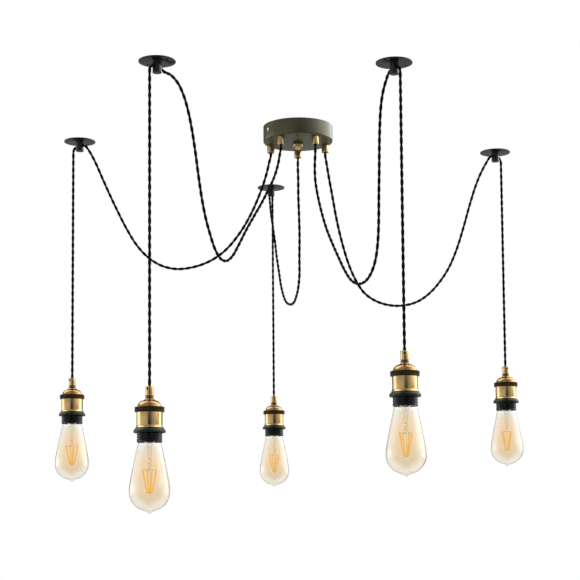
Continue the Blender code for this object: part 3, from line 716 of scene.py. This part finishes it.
for letter, pendant in PENDANTS.items():
    place = GRIP_RING * bearing_vector(pendant["grip"])
    grip = turned("canopy_cord_grip_" + letter, grip_profile, place, steps=64, looped=True)
    finish(grip, BRASS, "ceiling_parts", ["canopy_grip_" + letter], origin=place)
    nut = turned("canopy_locknut_" + letter, nut_profile, place, steps=6, looped=True)
    finish(nut, ZINC, "ceiling_parts", origin=place)
    axis = bearing_vector(pendant["grip"] + 90)
    spot = place + axis * GRIP_RADIUS + UP * (under_canopy - PINCH_DOWN * GRIP_LENGTH)
    pinch = screw("canopy_pinch_screw_" + letter, *PINCH_SCREW, spot, axis)
    finish(pinch, NICKEL, "ceiling_parts", origin=spot)


# Ceiling hooks: a black enamelled steel plate and post, cast in one, with a cross hole that the
# cord is threaded through, and two holes for ceiling screws.
PLATE_RADIUS = 0.030
PLATE_THICKNESS = 0.002
POST_LENGTH = 0.018
PLATE_HOLE_RADIUS = 0.0022
PLATE_HOLE_RING = 0.0205
PLATE_BIT_LENGTH = 0.01
CROSS_HOLE_RADIUS = 0.0030
CROSS_BIT_LENGTH = 0.024
HOOK_ENAMEL = powder_coat(
    "black_satin_enamel", ("#0c0c0e", "#141417"), 0.0, 0.2, 0.0006, coat=0.2
)
post_foot = -(PLATE_THICKNESS + POST_LENGTH)
hook_profile = eased(
    (0, 0, 0),
    (PLATE_RADIUS, 0, 0.0003),
    (PLATE_RADIUS, -PLATE_THICKNESS, 0.0006),
    (POST_RADIUS, -PLATE_THICKNESS, 0.0006),
    (POST_RADIUS, post_foot, 0.0009),
    (0, post_foot, 0),
)


def cut(piece, cutters):
    """Takes the cutters out of the piece and keeps the result as its mesh."""
    for cutter in cutters:
        step = piece.modifiers.new("cut", "BOOLEAN")
        step.operation = "DIFFERENCE"
        step.solver = "EXACT"
        step.object = cutter
    graph = bpy.context.evaluated_depsgraph_get()
    mesh = bpy.data.meshes.new_from_object(piece.evaluated_get(graph))
    piece.modifiers.clear()
    piece.data = mesh
    for cutter in cutters:
        bpy.data.objects.remove(cutter, do_unlink=True)
    weld(mesh)


def drill_bit(radius, length, middle, axis, side):
    """A plain cylinder that reaches half its length each way along the axis."""
    half = length / 2
    profile = [(0, half), (radius, half), (radius, -half), (0, -half)]
    return turned("bit", profile, middle, (side, np.cross(axis, side), axis), steps=40)


for letter, pendant in PENDANTS.items():
    place = np.array([*pendant["hook"], 0])
    out = bearing_vector(pendant["out"])
    across = np.cross(out, UP)
    hook = turned(f"ceiling_hook_{letter}_enamelled", hook_profile, place, steps=120)
    level = place + UP * CORD_HEIGHT
    bits = [drill_bit(CROSS_HOLE_RADIUS, CROSS_BIT_LENGTH, level, out, across)]
    for way in (-1, 1):
        spot = place + way * PLATE_HOLE_RING * across
        bits.append(drill_bit(PLATE_HOLE_RADIUS, PLATE_BIT_LENGTH, spot, UP, np.array([1.0, 0, 0])))
    cut(hook, bits)
    finish(
        hook, HOOK_ENAMEL, "ceiling_parts", ["ceiling_hook_" + letter], origin=place
    )


# Terminal block: a moulded bar of white polyamide under the strap, where the five cords meet the
# supply. The canopy hides it, so its brass tubes and screws are left out.
BLOCK_SIZE = (0.036, 0.014, 0.011)  # along the strap, across it and up
BLOCK_MIDDLE_OUT = 0.027
BLOCK_TOP = -0.0023
BOX_EXPONENT = 10
BOX_ROWS = 24
FLOW_PER_METRE = 60.0
TOOTH_PER_METRE = 2500.0


def rounded_box(name, size, middle, axes):
    """A superellipsoid: cosines and sines of two angles, to the power two over the exponent."""

    def bend(value):
        """The value to that power, with its own sign."""
        return np.sign(value) * np.abs(value) ** (2 / BOX_EXPONENT)

    tall = np.linspace(math.pi / 2, -math.pi / 2, BOX_ROWS)[:, None]
    wide = (2 * math.pi * np.arange(2 * BOX_ROWS) / (2 * BOX_ROWS))[None]
    level = bend(np.cos(tall))
    shares = (level * bend(np.cos(wide)), level * bend(np.sin(wide)), bend(np.sin(tall)) + 0 * wide)
    parts = [s[..., None] * length / 2 * axis for s, length, axis in zip(shares, size, axes)]
    return skin(name, [middle + sum(parts)])


def moulded_plastic(name, colours, roughness, specular=0.5):
    """Moulded plastic: faint flow shades and the spark-eroded tooth of the mould."""
    made, tree, shader = new_material(name, Specular_IOR_Level=specular, IOR=1.5)
    place = node(tree, "Attribute", attribute_name="own_place").outputs["Vector"]
    clouds = {"Vector": place, "Scale": FLOW_PER_METRE, "Detail": 2.0, "Distortion": 1.0}
    flow = node(tree, "TexNoise", clouds)
    tooth = node(tree, "TexNoise", {"Vector": place, "Scale": TOOTH_PER_METRE})
    gloss = (flow, 0.3, 0.7, roughness * 0.85, roughness * 1.2)
    dress(tree, shader, flow, colours, gloss, relief=(tooth, 0.1, 0.0001))
    return made


POLYAMIDE = moulded_plastic("white_polyamide", ("#dedcd4", "#ebe9e2"), 0.45)
strap_along = bearing_vector(STRAP_TURN)
block_axes = (strap_along, np.cross(UP, strap_along), UP)
block_middle = strap_along * BLOCK_MIDDLE_OUT + UP * (BLOCK_TOP - BLOCK_SIZE[2] / 2)
block = rounded_box("terminal_block_body", BLOCK_SIZE, block_middle, block_axes)
finish(
    block, POLYAMIDE, "ceiling_parts", ["terminal_block"], origin=block_middle
)


# Lamp cord grips: a short brass bush that pinches the cord above the lampholder with one dark
# screw, and a dark threaded neck below it that carries the cap.
NECK_RADIUS = 0.00645
NECK_LENGTH = 0.007
NECK_BEVEL = (0.0006, 0.0008)  # in and down
NECK_THREAD_REACH = 0.0045
LAMP_GRIP_BEVEL = 0.0005
LAMP_PINCH_DROP = 0.0043
LAMP_PINCH_SCREW = (0.0019, 0.0005, 0.0009, 0.002)  # radius, height, recess and shank
PINCH_BEARINGS = {"a": 232, "b": 244, "c": 268, "d": 296, "e": 276}  # degrees
NECK_BRONZE = brushed_metal(
    "brown_bronzed_brass", ("#4d3a26", "#715a3c"), 0.3, 0.0006, (0.2, 0.2, 1), streak=0.4
)
DARK_BRONZE = brushed_metal(
    "dark_bronzed_brass", ("#211c12", "#3a3220"), 0.38, 0.0006, (1, 1, 1), streak=0.5
)
cap_top = -(GRIP_LENGTH + NECK_LENGTH)
lamp_grip_profile = eased(
    (GRIP_BORE, 0, 0.0004),
    (GRIP_RADIUS, 0, 0.0007),
    (GRIP_RADIUS, LAMP_GRIP_BEVEL - GRIP_LENGTH, 0.0003),
    (GRIP_RADIUS - LAMP_GRIP_BEVEL, -GRIP_LENGTH, 0),
    (GRIP_BORE, -GRIP_LENGTH, 0),
)
neck_profile = eased(
    (GRIP_BORE, -GRIP_LENGTH, 0),
    (NECK_RADIUS - NECK_BEVEL[0], -GRIP_LENGTH, 0),
    (NECK_RADIUS, -GRIP_LENGTH - NECK_BEVEL[1], 0.0003),
    (NECK_RADIUS, cap_top + GAP, 0.0004),
    (GRIP_THREAD, cap_top + GAP, 0),
    (GRIP_THREAD, cap_top - NECK_THREAD_REACH, 0),
    (GRIP_BORE, cap_top - NECK_THREAD_REACH, 0),
)


def lamp_place(letter):
    """The top of the lamp's cord grip, on the lamp's axis."""
    pendant = PENDANTS[letter]
    level = np.array([*pendant["hook"], 0]) + HANG_OUT * bearing_vector(pendant["out"])
    return level + UP * pendant["top"]


def on_each_lamp(name, profile, material, slot, body, stands_for=None, **shape):
    """The five turned pieces of a kind. The profile's heights count from the top of the grip."""
    for letter in PENDANTS:
        place = lamp_place(letter)
        piece = turned(f"{name}_{letter}", profile, place, **shape)
        nodes = [f"{stands_for}_{letter}"] if stands_for else ()
        finish(piece, material, f"{body}_{letter}", nodes, origin=place)


on_each_lamp(
    "lamp_cord_grip", lamp_grip_profile, BRASS, "brass", "pendant", "cord_grip",
    steps=64, looped=True,
)
on_each_lamp(
    "lamp_neck", neck_profile, NECK_BRONZE, "dark_metal", "pendant", steps=64, looped=True
)
for letter, bearing in PINCH_BEARINGS.items():
    axis = bearing_vector(bearing)
    spot = lamp_place(letter) + axis * GRIP_RADIUS - UP * LAMP_PINCH_DROP
    pinch = screw("lamp_pinch_screw_" + letter, *LAMP_PINCH_SCREW, spot, axis)
    finish(pinch, DARK_BRONZE, "pendant_" + letter, origin=spot)


# Lampholder cap: a dome spun from brass sheet, with a hollow collar round the neck's foot and a
# straight skirt that goes down inside the dark ring. Its brass is a warmer brown than the sleeve's.
DOME_TOP_RADIUS = 0.0075
DOME_RADIUS = 0.019
DOME_HEIGHT = 0.0105
DOME_POINTS = 26
COLLAR_RADIUS = 0.0071
COLLAR_HEIGHT = 0.002
COLLAR_REACH = 0.0036  # how far out along the dome its hollow curve runs
COLLAR_JOINT = 5  # the dome's point where the collar ends
COLLAR_POINTS = 12
CAP_WALL = 0.0012
CAP_HOLE = 0.005
UPPER_RING_HEIGHT = 0.008
AGED_BRASS = brushed_metal(
    "aged_spun_brass", ("#9c794a", "#c09d68"), 0.18, 0.0005, (0.15, 0.15, 1), streak=0.35
)
dome_foot = cap_top - DOME_HEIGHT
ring_foot = dome_foot - UPPER_RING_HEIGHT
turn = np.linspace(math.pi / 2, 0, DOME_POINTS)
spread = DOME_TOP_RADIUS + (DOME_RADIUS - DOME_TOP_RADIUS) * np.cos(turn)
outer_dome = np.column_stack([spread, dome_foot + DOME_HEIGHT * np.sin(turn)])
inner_dome = outer_dome - CAP_WALL * np.column_stack([np.cos(turn), np.sin(turn)])
dome_top = outer_dome[0, 1]
collar_bore = NECK_RADIUS + GAP
collar_top = dome_top + COLLAR_HEIGHT
joint, beyond = outer_dome[COLLAR_JOINT : COLLAR_JOINT + 2]
bend = joint - COLLAR_REACH * unit(beyond - joint)
cap_profile = np.vstack(
    [
        [(CAP_HOLE, dome_top), (collar_bore, dome_top), (collar_bore, collar_top)],
        parabola((COLLAR_RADIUS, collar_top), bend, joint, COLLAR_POINTS),
        outer_dome[COLLAR_JOINT + 1 :],
        [(DOME_RADIUS, ring_foot + GAP), (DOME_RADIUS - CAP_WALL, ring_foot + GAP)],
        inner_dome[::-1],
        [(CAP_HOLE, inner_dome[0, 1])],
    ]
)
on_each_lamp(
    "lampholder_cap", cap_profile, AGED_BRASS, "brass", "pendant", "holder_cap",
    steps=96, looped=True,
)


# Upper ring: a dark bronzed ring with a fine straight knurl, which clamps the cap to the sleeve.
# The knurl is rolled into its rim, and its edges are left plain.
UPPER_RING_RADIUS = 0.0233
UPPER_RING_EDGE = 0.0008
EDGE_IN, EDGE_DOWN = 0.2, 0.4  # the edge's middle point, as shares of it
KNURL_TEETH = 84
KNURL_DEPTH = 0.00035
KNURL_INSET = 0.0013
KNURL_ROWS = 6
ON_SURFACE = 1e-6  # how near a radius or height has to be to count as on the surface
bore = DOME_RADIUS + GAP
knurl_top = dome_foot - KNURL_INSET
knurl_foot = ring_foot + KNURL_INSET
edge_top = UPPER_RING_RADIUS - UPPER_RING_EDGE
edge_middle = UPPER_RING_RADIUS - EDGE_IN * UPPER_RING_EDGE


def wall(radius, top, foot, rows):
    """Evenly spaced points of one radius, from the top down to the foot."""
    return np.column_stack([np.full(rows, radius), np.linspace(top, foot, rows)])


ring_profile = np.vstack(
    [
        [(bore, dome_foot), (edge_top, dome_foot)],
        [(edge_middle, dome_foot - EDGE_DOWN * UPPER_RING_EDGE)],
        [(UPPER_RING_RADIUS, dome_foot - UPPER_RING_EDGE)],
        wall(UPPER_RING_RADIUS, knurl_top, knurl_foot, KNURL_ROWS),
        [(UPPER_RING_RADIUS, ring_foot + UPPER_RING_EDGE)],
        [(edge_middle, ring_foot + EDGE_DOWN * UPPER_RING_EDGE)],
        [(edge_top, ring_foot), (bore, ring_foot)],
    ]
)


def knurl(radius, height, turn):
    """Teeth round the rim: a cosine of the turn times the number of teeth, on its flat only."""
    between = (height < knurl_top + ON_SURFACE) & (height > knurl_foot - ON_SURFACE)
    flat = between & (radius > UPPER_RING_RADIUS - ON_SURFACE)
    return -KNURL_DEPTH * flat * (0.5 + 0.5 * np.cos(KNURL_TEETH * turn))


on_each_lamp(
    "knurled_ring", ring_profile, DARK_BRONZE, "dark_metal", "pendant", "upper_ring",
    steps=4 * KNURL_TEETH, looped=True, ripple=knurl,
)


# Sleeve: a brass tube round the holder's core, polished bright, with a flared foot that beds on
# the shade ring.
SLEEVE_RADIUS = 0.0203
SLEEVE_WALL = 0.0012
SLEEVE_HEIGHT = 0.0245
SLEEVE_FLARE = 0.0016
SLEEVE_FLARE_HEIGHT = 0.0024
SLEEVE_LIP = 0.0004
SLEEVE_BRASS = brushed_metal(
    "polished_sleeve_brass", ("#b89761", "#d1b481"), 0.1, 0.0004, (0.1, 0.1, 1), streak=0.3
)
sleeve_top = ring_foot - GAP
sleeve_foot = ring_foot - SLEEVE_HEIGHT
sleeve_profile = eased(
    (SLEEVE_RADIUS - SLEEVE_WALL, sleeve_top, 0),
    (SLEEVE_RADIUS, sleeve_top, 0.0003),
    (SLEEVE_RADIUS, sleeve_foot + SLEEVE_FLARE_HEIGHT, 0.0014),
    (SLEEVE_RADIUS + SLEEVE_FLARE, sleeve_foot + SLEEVE_LIP, 0.0002),
    (SLEEVE_RADIUS + SLEEVE_FLARE, sleeve_foot, 0),
    (SLEEVE_RADIUS - SLEEVE_WALL, sleeve_foot, 0),
)
on_each_lamp(
    "brass_sleeve", sleeve_profile, SLEEVE_BRASS, "brass", "pendant", "holder_sleeve",
    steps=128, looped=True,
)


# Core: a black phenolic moulding that holds the screw shell and contacts. Its lower end shows
# as a skirt with a coarse moulded thread for the shade ring, and a wide mouth for the bulb.
SHADE_RING_HEIGHT = 0.008
SKIRT_RADIUS = 0.020
SKIRT_LENGTH = 0.015
SKIRT_ROWS = 70
SKIRT_CHAMFER = 0.0003
SKIRT_ENDS = (0.0004, 0.0008)  # from the skirt's top and foot to its straight wall
RIM_STEP = 0.0002
MOUTH_RADIUS = 0.0178
MOUTH_DEPTH = 0.008
MOUTH_CHAMFER = 0.0004
SOCKET_RADIUS = 0.0142
SOCKET_DEPTH = 0.0328
CORE_SHOULDER = 0.0035
THREAD_PITCH = 0.004
THREAD_DEPTH = 0.0008
THREAD_SHARPNESS = 1.1
THREAD_ENDS = (0.0006, 0.0016)  # from the skirt's top and foot to where the thread begins
THREAD_FADES = (0.001, 0.0012)  # and over what height it comes up
PHENOLIC = moulded_plastic("black_phenolic", ("#040405", "#090909"), 0.2, specular=0.26)
shade_ring_top = sleeve_foot - GAP
shade_ring_foot = sleeve_foot - SHADE_RING_HEIGHT
rim = shade_ring_foot - SKIRT_LENGTH
socket_floor = rim + SOCKET_DEPTH
in_cap = DOME_RADIUS - CAP_WALL - GAP
in_sleeve = SLEEVE_RADIUS - SLEEVE_WALL - GAP
core_top = sleeve_top + CORE_SHOULDER
chamfer = SKIRT_RADIUS - SKIRT_CHAMFER
core_profile = np.vstack(
    [
        [(0, core_top), (in_cap, core_top), (in_cap, sleeve_top), (in_sleeve, sleeve_top)],
        [(in_sleeve, shade_ring_top), (chamfer, shade_ring_top)],
        wall(SKIRT_RADIUS, shade_ring_top - SKIRT_ENDS[0], rim + SKIRT_ENDS[1], SKIRT_ROWS),
        [(chamfer, rim + RIM_STEP), (SKIRT_RADIUS - SKIRT_ENDS[1], rim)],
        [(MOUTH_RADIUS + MOUTH_CHAMFER, rim), (MOUTH_RADIUS, rim + MOUTH_CHAMFER)],
        [(MOUTH_RADIUS, rim + MOUTH_DEPTH), (SOCKET_RADIUS, rim + MOUTH_DEPTH)],
        [(SOCKET_RADIUS, socket_floor), (0, socket_floor)],
    ]
)


def rise(way, over):
    """From none at the start of the way to full at its end."""
    return np.clip(way / over, 0, 1)


def moulded_thread(radius, height, turn):
    """A round-edged groove that winds down the skirt: a cosine of height over pitch less turn,
    sharpened, and faded out at both ends."""
    on_skirt = radius > SKIRT_RADIUS - ON_SURFACE
    wave = np.cos(2 * math.pi * height / THREAD_PITCH - turn)
    groove = np.clip(0.5 + THREAD_SHARPNESS * wave, 0, 1)
    fade = rise(height - rim - THREAD_ENDS[1], THREAD_FADES[1])
    fade = fade * rise(shade_ring_top - THREAD_ENDS[0] - height, THREAD_FADES[0])
    return -THREAD_DEPTH * on_skirt * groove * fade


on_each_lamp(
    "phenolic_core", core_profile, PHENOLIC, "phenolic", "pendant", "socket_core",
    steps=96, ripple=moulded_thread,
)


# Shade ring: a dark green-black ring that screws up the skirt, where it would clamp a shade.
# It is turned, with a wide upper bevel, and bronzed.
SHADE_RING_RADIUS = 0.0252
SHADE_RING_BEVEL = (0.0035, 0.0042)  # in and down
RING_BRONZE = brushed_metal(
    "green_black_bronze", ("#212722", "#384039"), 0.36, 0.0006, (0.3, 0.3, 1), streak=0.4
)
bore = SKIRT_RADIUS + GAP
shade_ring_profile = eased(
    (bore, shade_ring_top, 0.0002),
    (SHADE_RING_RADIUS - SHADE_RING_BEVEL[0], shade_ring_top, 0.0005),
    (SHADE_RING_RADIUS, shade_ring_top - SHADE_RING_BEVEL[1], 0.0006),
    (SHADE_RING_RADIUS, shade_ring_foot, 0.0008),
    (bore, shade_ring_foot, 0.0003),
)
on_each_lamp(
    "bevelled_shade_ring", shade_ring_profile, RING_BRONZE, "dark_metal", "ring",
    "shade_ring", steps=112, looped=True,
)


# Bulb's screw base: a nickel-plated brass shell with a rolled thread, a black glass insulator and
# a soldered contact. It is cemented onto the bulb's neck.
BASE_RADIUS = 0.0131
BASE_LENGTH = 0.0265
BASE_PITCH = 0.0036
BASE_THREAD_DEPTH = 0.0007
BASE_THREAD_START = 0.004
BASE_THREAD_FADE = 0.002
BASE_INSIDE = 0.006  # from the holder's rim up to the base
INSULATOR_HEIGHT = 0.0055
SHELL_CROWN = ((0, 0.0012), (0.0095, 0.0012), (0.0118, 0.0004))  # radius, and height on the shell
SHELL_ROWS = 60
SHELL_LIP = 0.002
SHELL_WALL = 0.0008
SHELL_BORE = 0.0105
SHELL_ROOF = 0.001
INSULATOR_FACE = 0.005
INSULATOR_FOOT = (0.0094, 0.0013)
CONTACT_RADIUS = 0.0045
CONTACT_HEIGHT = 0.0011
CONTACT_SEAT = 0.0001  # between the contact's foot and the insulator's face
base_foot = rim + BASE_INSIDE
bulb_top = base_foot + BASE_LENGTH
shell_top = bulb_top - INSULATOR_HEIGHT
lip = base_foot + SHELL_LIP
roof = shell_top - SHELL_ROOF
shell_profile = np.vstack(
    [
        np.array(SHELL_CROWN) + (0, shell_top),
        wall(BASE_RADIUS, shell_top, lip, SHELL_ROWS),
        [(BASE_RADIUS, base_foot), (BASE_RADIUS - SHELL_WALL, base_foot)],
        [(BASE_RADIUS - 2 * SHELL_WALL, lip), (SHELL_BORE, lip), (SHELL_BORE, roof), (0, roof)],
    ]
)


def rolled_thread(radius, height, turn):
    """A rounded thread rolled into the shell: a cosine of height over pitch less turn."""
    start = base_foot + BASE_THREAD_START
    depth = BASE_THREAD_DEPTH * (radius > BASE_RADIUS - ON_SURFACE) * (height > start)
    wave = 0.5 + 0.5 * np.cos(2 * math.pi * height / BASE_PITCH - turn)
    return -depth * rise(height - start, BASE_THREAD_FADE) * wave


INSULATOR = moulded_plastic("black_glass_insulator", ("#0b0b0c", "#161618"), 0.15)
contact_foot = bulb_top - CONTACT_HEIGHT
face = contact_foot - CONTACT_SEAT
seat = shell_top + INSULATOR_FOOT[1]
insulator_profile = eased(
    (0, face, 0), (INSULATOR_FACE, face, 0.0004), (INSULATOR_FOOT[0], seat, 0.0008), (0, seat, 0)
)
turn = np.linspace(math.pi / 2, 0, 10)
contact_dome = [CONTACT_RADIUS * np.cos(turn), contact_foot + CONTACT_HEIGHT * np.sin(turn)]
contact_profile = np.vstack([np.column_stack(contact_dome), (0, contact_foot)])
on_each_lamp(
    "bulb_screw_shell", shell_profile, NICKEL, "zinc_steel", "lamp",
    steps=72, ripple=rolled_thread,
)
on_each_lamp("bulb_insulator", insulator_profile, INSULATOR, "phenolic", "lamp", steps=48)
on_each_lamp("bulb_contact", contact_profile, NICKEL, "zinc_steel", "lamp", steps=32)


# Bulb's glass: a blown pear-shaped envelope of soda-lime glass, with a thin amber stain that
# leaves the neck paler, and a small sealed tip.
GLASS_RADIUS = 0.032
GLASS_LENGTH = 0.1105
GLASS_WALL = 0.0007
GLASS_TIP_SHARE = 2.5  # how much thicker the wall is at the tip
GLASS_SHAPE_SHARES = (  # of the length down from the rim, and of the radius
    (-0.054, 0.395), (-0.03, 0.46), (0.0, 0.544), (0.11, 0.644), (0.22, 0.725), (0.375, 0.838),
    (0.52, 0.931), (0.625, 0.988), (0.70, 1.0), (0.77, 0.969), (0.83, 0.881), (0.88, 0.75),
    (0.925, 0.57), (0.950, 0.385), (0.966, 0.235), (0.977, 0.145), (0.988, 0.105), (0.996, 0.07),
    (1.0, 0.0),
)
FINE = 6  # points to each span of a glass profile
FACE_TINTS = (  # metres below the rim
    (0.002, "#ffffff"), (0.007, "#f2efe8"), (0.028, "#f9ead3"), (0.06, "#f7e7ce"),
    (0.085, "#f1e6d2"), (0.108, "#ece3cf"),
)
# Painted light on the glass, by how far the surface turns from the view: a near-white painted
# reflection on the flanks and a darker painted shade line at the edge.
FLANK_PAINTED_REFLECTION = "#fefcf6"
EDGE_PAINTED_SHADE = "#e3d6c0"
WAVES_PER_METRE = 45.0


def by_height(tree, height, stops):
    """A colour for each height below the rim, mixed evenly from one stop to the next."""
    tint = hex_colour(stops[0][1])
    for (upper, _), (lower, code) in zip(stops, stops[1:]):
        share = node(tree, "MapRange", {0: height, 1: rim - upper, 2: rim - lower})
        tint = node(tree, "MixRGB", {0: share, 1: tint, 2: hex_colour(code)})
    return tint


def amber_glass():
    """Clear glass with a thin amber stain inside, its tint going by height below the rim. Where the
    surface turns from the view, the colour is painted paler on the flanks, a painted reflection,
    and darker in a thin line at the edge, a painted shade. Faint waves from blowing bend
    highlights."""
    made, tree, shader = new_material(
        "amber_tinted_glass", Transmission_Weight=1.0, Roughness=0.0, IOR=1.5
    )
    place = node(tree, "Attribute", attribute_name="own_place").outputs["Vector"]
    height = node(tree, "SeparateXYZ", {0: place}).outputs["Z"]
    facing = node(tree, "LayerWeight", {"Blend": 0.5}).outputs["Facing"]
    # Shares of painted reflection on the flanks and of painted shade at the very edge, by facing.
    aside = node(tree, "MapRange", {0: facing, 1: 0.1, 2: 0.28})
    edge = node(tree, "MapRange", {0: facing, 1: 0.62, 2: 0.85})
    tint = by_height(tree, height, FACE_TINTS)
    for share, code in ((aside, FLANK_PAINTED_REFLECTION), (edge, EDGE_PAINTED_SHADE)):
        tint = node(tree, "MixRGB", {0: share, 1: tint, 2: hex_colour(code)})
    tree.links.new(tint.outputs[0], shader.inputs["Base Color"])
    waves = node(tree, "TexNoise", {"Vector": place, "Scale": WAVES_PER_METRE, "Detail": 1.0})
    bump = node(tree, "Bump", {"Height": waves, "Strength": 0.15, "Distance": 0.0008})
    tree.links.new(bump.outputs[0], shader.inputs["Normal"])
    return made


def clamped(profile):
    """The profile with no radius under zero."""
    return np.column_stack([np.maximum(profile[:, 0], 0), profile[:, 1]])


AMBER_GLASS = amber_glass()
glass_shape = np.array([(GLASS_RADIUS * r, rim - GLASS_LENGTH * z) for z, r in GLASS_SHAPE_SHARES])
outer_glass = clamped(smooth(glass_shape, FINE))
slope = unit(np.gradient(outer_glass, axis=0))
inner_glass = clamped(outer_glass + GLASS_WALL * np.column_stack([slope[:, 1], -slope[:, 0]]))
inner_glass[-1] = (0, outer_glass[-1, 1] + GLASS_TIP_SHARE * GLASS_WALL)
glass_profile = np.vstack([inner_glass[::-1], outer_glass])
on_each_lamp(
    "bulb_glass", glass_profile, AMBER_GLASS, "amber_glass", "lamp", "bulb", steps=128
)


# Inside the bulb: a pressed glass stem, a curled anchor wire, and four phosphor-coated filament
# sticks on wire spokes and feet, which lean in towards their foot.
STEM_RADIUS = 0.0043
STEM_WALL = 0.0008
STEM_LENGTH = 0.028
STEM_SHAPE_SHARES = (  # of the stem's length up from the rim, and of its radius
    (0.19, 2.7), (0.04, 1.95), (-0.14, 1.35), (-0.32, 1.04), (-0.6, 1.0), (-0.84, 1.0),
    (-0.94, 0.78), (-1.0, 0.0),
)
STICK_RADIUS = 0.0012
STICK_TOP = 0.0425
STICK_FOOT = 0.0785
STICK_TOP_RING = 0.0115
STICK_FOOT_RING = 0.0038
STICK_BEARING = 25
STICK_COUNT = 4
DIODE_PITCH = 0.0012
WIRE_RADIUS = 0.00035
SPOKE_RISES = (0.001, 0.0005)  # over the hub and over the stick's head
FOOT_SAG = 0.0004
CURL_TURNS = 2.5
CURL_POINTS = 40
CURL_START = 0.002
CURL_HEIGHT = 0.010
CURL_RADIUS = 0.0032
WIRE_TAIL = 0.004
RIPPLES_PER_METRE = 200.0


def clear_glass():
    """Colourless pressed glass, slightly wavy."""
    made, tree, shader = new_material(
        "clear_stem_glass", Transmission_Weight=1.0, Roughness=0.02, IOR=1.5
    )
    place = node(tree, "Attribute", attribute_name="own_place").outputs["Vector"]
    waves = node(tree, "TexNoise", {"Vector": place, "Scale": RIPPLES_PER_METRE})
    dress(tree, shader, waves, ("#fbf6ec", "#fefcf6"), relief=(waves, 0.2, 0.0004))
    return made


def phosphor():
    """Silicone loaded with yellow phosphor over a row of tiny diodes: opaque, orange yellow, with a
    faint painted glow as though the bulb were lit.
    """
    made, tree, shader = new_material(
        "yellow_phosphor_silicone", Roughness=0.5, Specular_IOR_Level=0.4,
        # Painted glow: a faint orange-yellow emission, as though the filament were lit.
        Emission_Color=hex_colour("#ffcf5a"), Emission_Strength=0.45,
    )
    place = node(tree, "Attribute", attribute_name="own_place").outputs["Vector"]
    height = node(tree, "SeparateXYZ", {0: place}).outputs["Z"]
    row = node(tree, "Math", {0: height, 1: 2 * math.pi / DIODE_PITCH}, operation="MULTIPLY")
    diodes = node(tree, "Math", {0: row}, operation="SINE")
    share = node(tree, "MapRange", {0: diodes, 1: -1.0})
    dress(tree, shader, share, ("#f2c04e", "#fbd97a"))
    return made


def rod(name, points, radius, sides=10, fine=12):
    """A round wire: a tube along the smooth curve through the points, closed at both ends."""
    line = smooth(points, fine)
    along = unit(line[-1] - line[0])
    side = np.array([1.0, 0.3, 0.2]) if abs(along[0]) < 0.8 else np.array([0, 1.0, 0.3])
    return skin(name, [tube_grid(line, radius, side, sides)[:, ::-1]], capped=True)


STEM_GLASS = clear_glass()
PHOSPHOR = phosphor()
stem_shape = [(STEM_RADIUS * r, rim + STEM_LENGTH * z) for z, r in STEM_SHAPE_SHARES]
outer_stem = smooth(stem_shape, FINE)
inner_stem = clamped(outer_stem - (STEM_WALL, 0))
inner_stem[-1, 1] += 2 * STEM_WALL
stem_profile = np.vstack([inner_stem[::-1], outer_stem])
on_each_lamp("bulb_stem", stem_profile, STEM_GLASS, "amber_glass", "lamp", steps=40)
for letter in PENDANTS:
    place = lamp_place(letter)
    stem_foot = place + UP * (rim - STEM_LENGTH)
    hub = place + UP * (rim - STICK_TOP)
    low_hub = place + UP * (rim - STICK_FOOT)
    turn = np.linspace(0, 2 * math.pi * CURL_TURNS, CURL_POINTS)[:, None]
    curl = stem_foot - UP * CURL_START - UP * (CURL_HEIGHT * turn / turn[-1])
    curl = curl + CURL_RADIUS * np.hstack([np.cos(turn), np.sin(turn), 0 * turn])
    curl = np.vstack([stem_foot + UP * WIRE_TAIL, curl, hub, low_hub - UP * WIRE_TAIL])
    wire = rod("bulb_anchor_wire_" + letter, curl, WIRE_RADIUS, sides=8, fine=3)
    finish(wire, NICKEL, "lamp_" + letter, origin=place)
    for number in range(STICK_COUNT):
        out = bearing_vector(STICK_BEARING + number * 360 / STICK_COUNT)
        head = hub + out * STICK_TOP_RING
        tail = low_hub + out * STICK_FOOT_RING
        stick = [head, head + (tail - head) * 0.5, tail]
        spoke = [hub + UP * SPOKE_RISES[0], (hub + head) / 2, head + UP * SPOKE_RISES[1]]
        foot = [low_hub, (low_hub + tail) / 2 - UP * FOOT_SAG, tail]
        for word, points, radius, material, slot in (
            ("stick", stick, STICK_RADIUS, PHOSPHOR, "white_plastic"),
            ("spoke", spoke, WIRE_RADIUS, NICKEL, "zinc_steel"),
            ("foot", foot, WIRE_RADIUS, NICKEL, "zinc_steel"),
        ):
            piece = rod(f"filament_{word}_{letter}_{number + 1}", points, radius)
            finish(piece, material, "lamp_" + letter, origin=place)
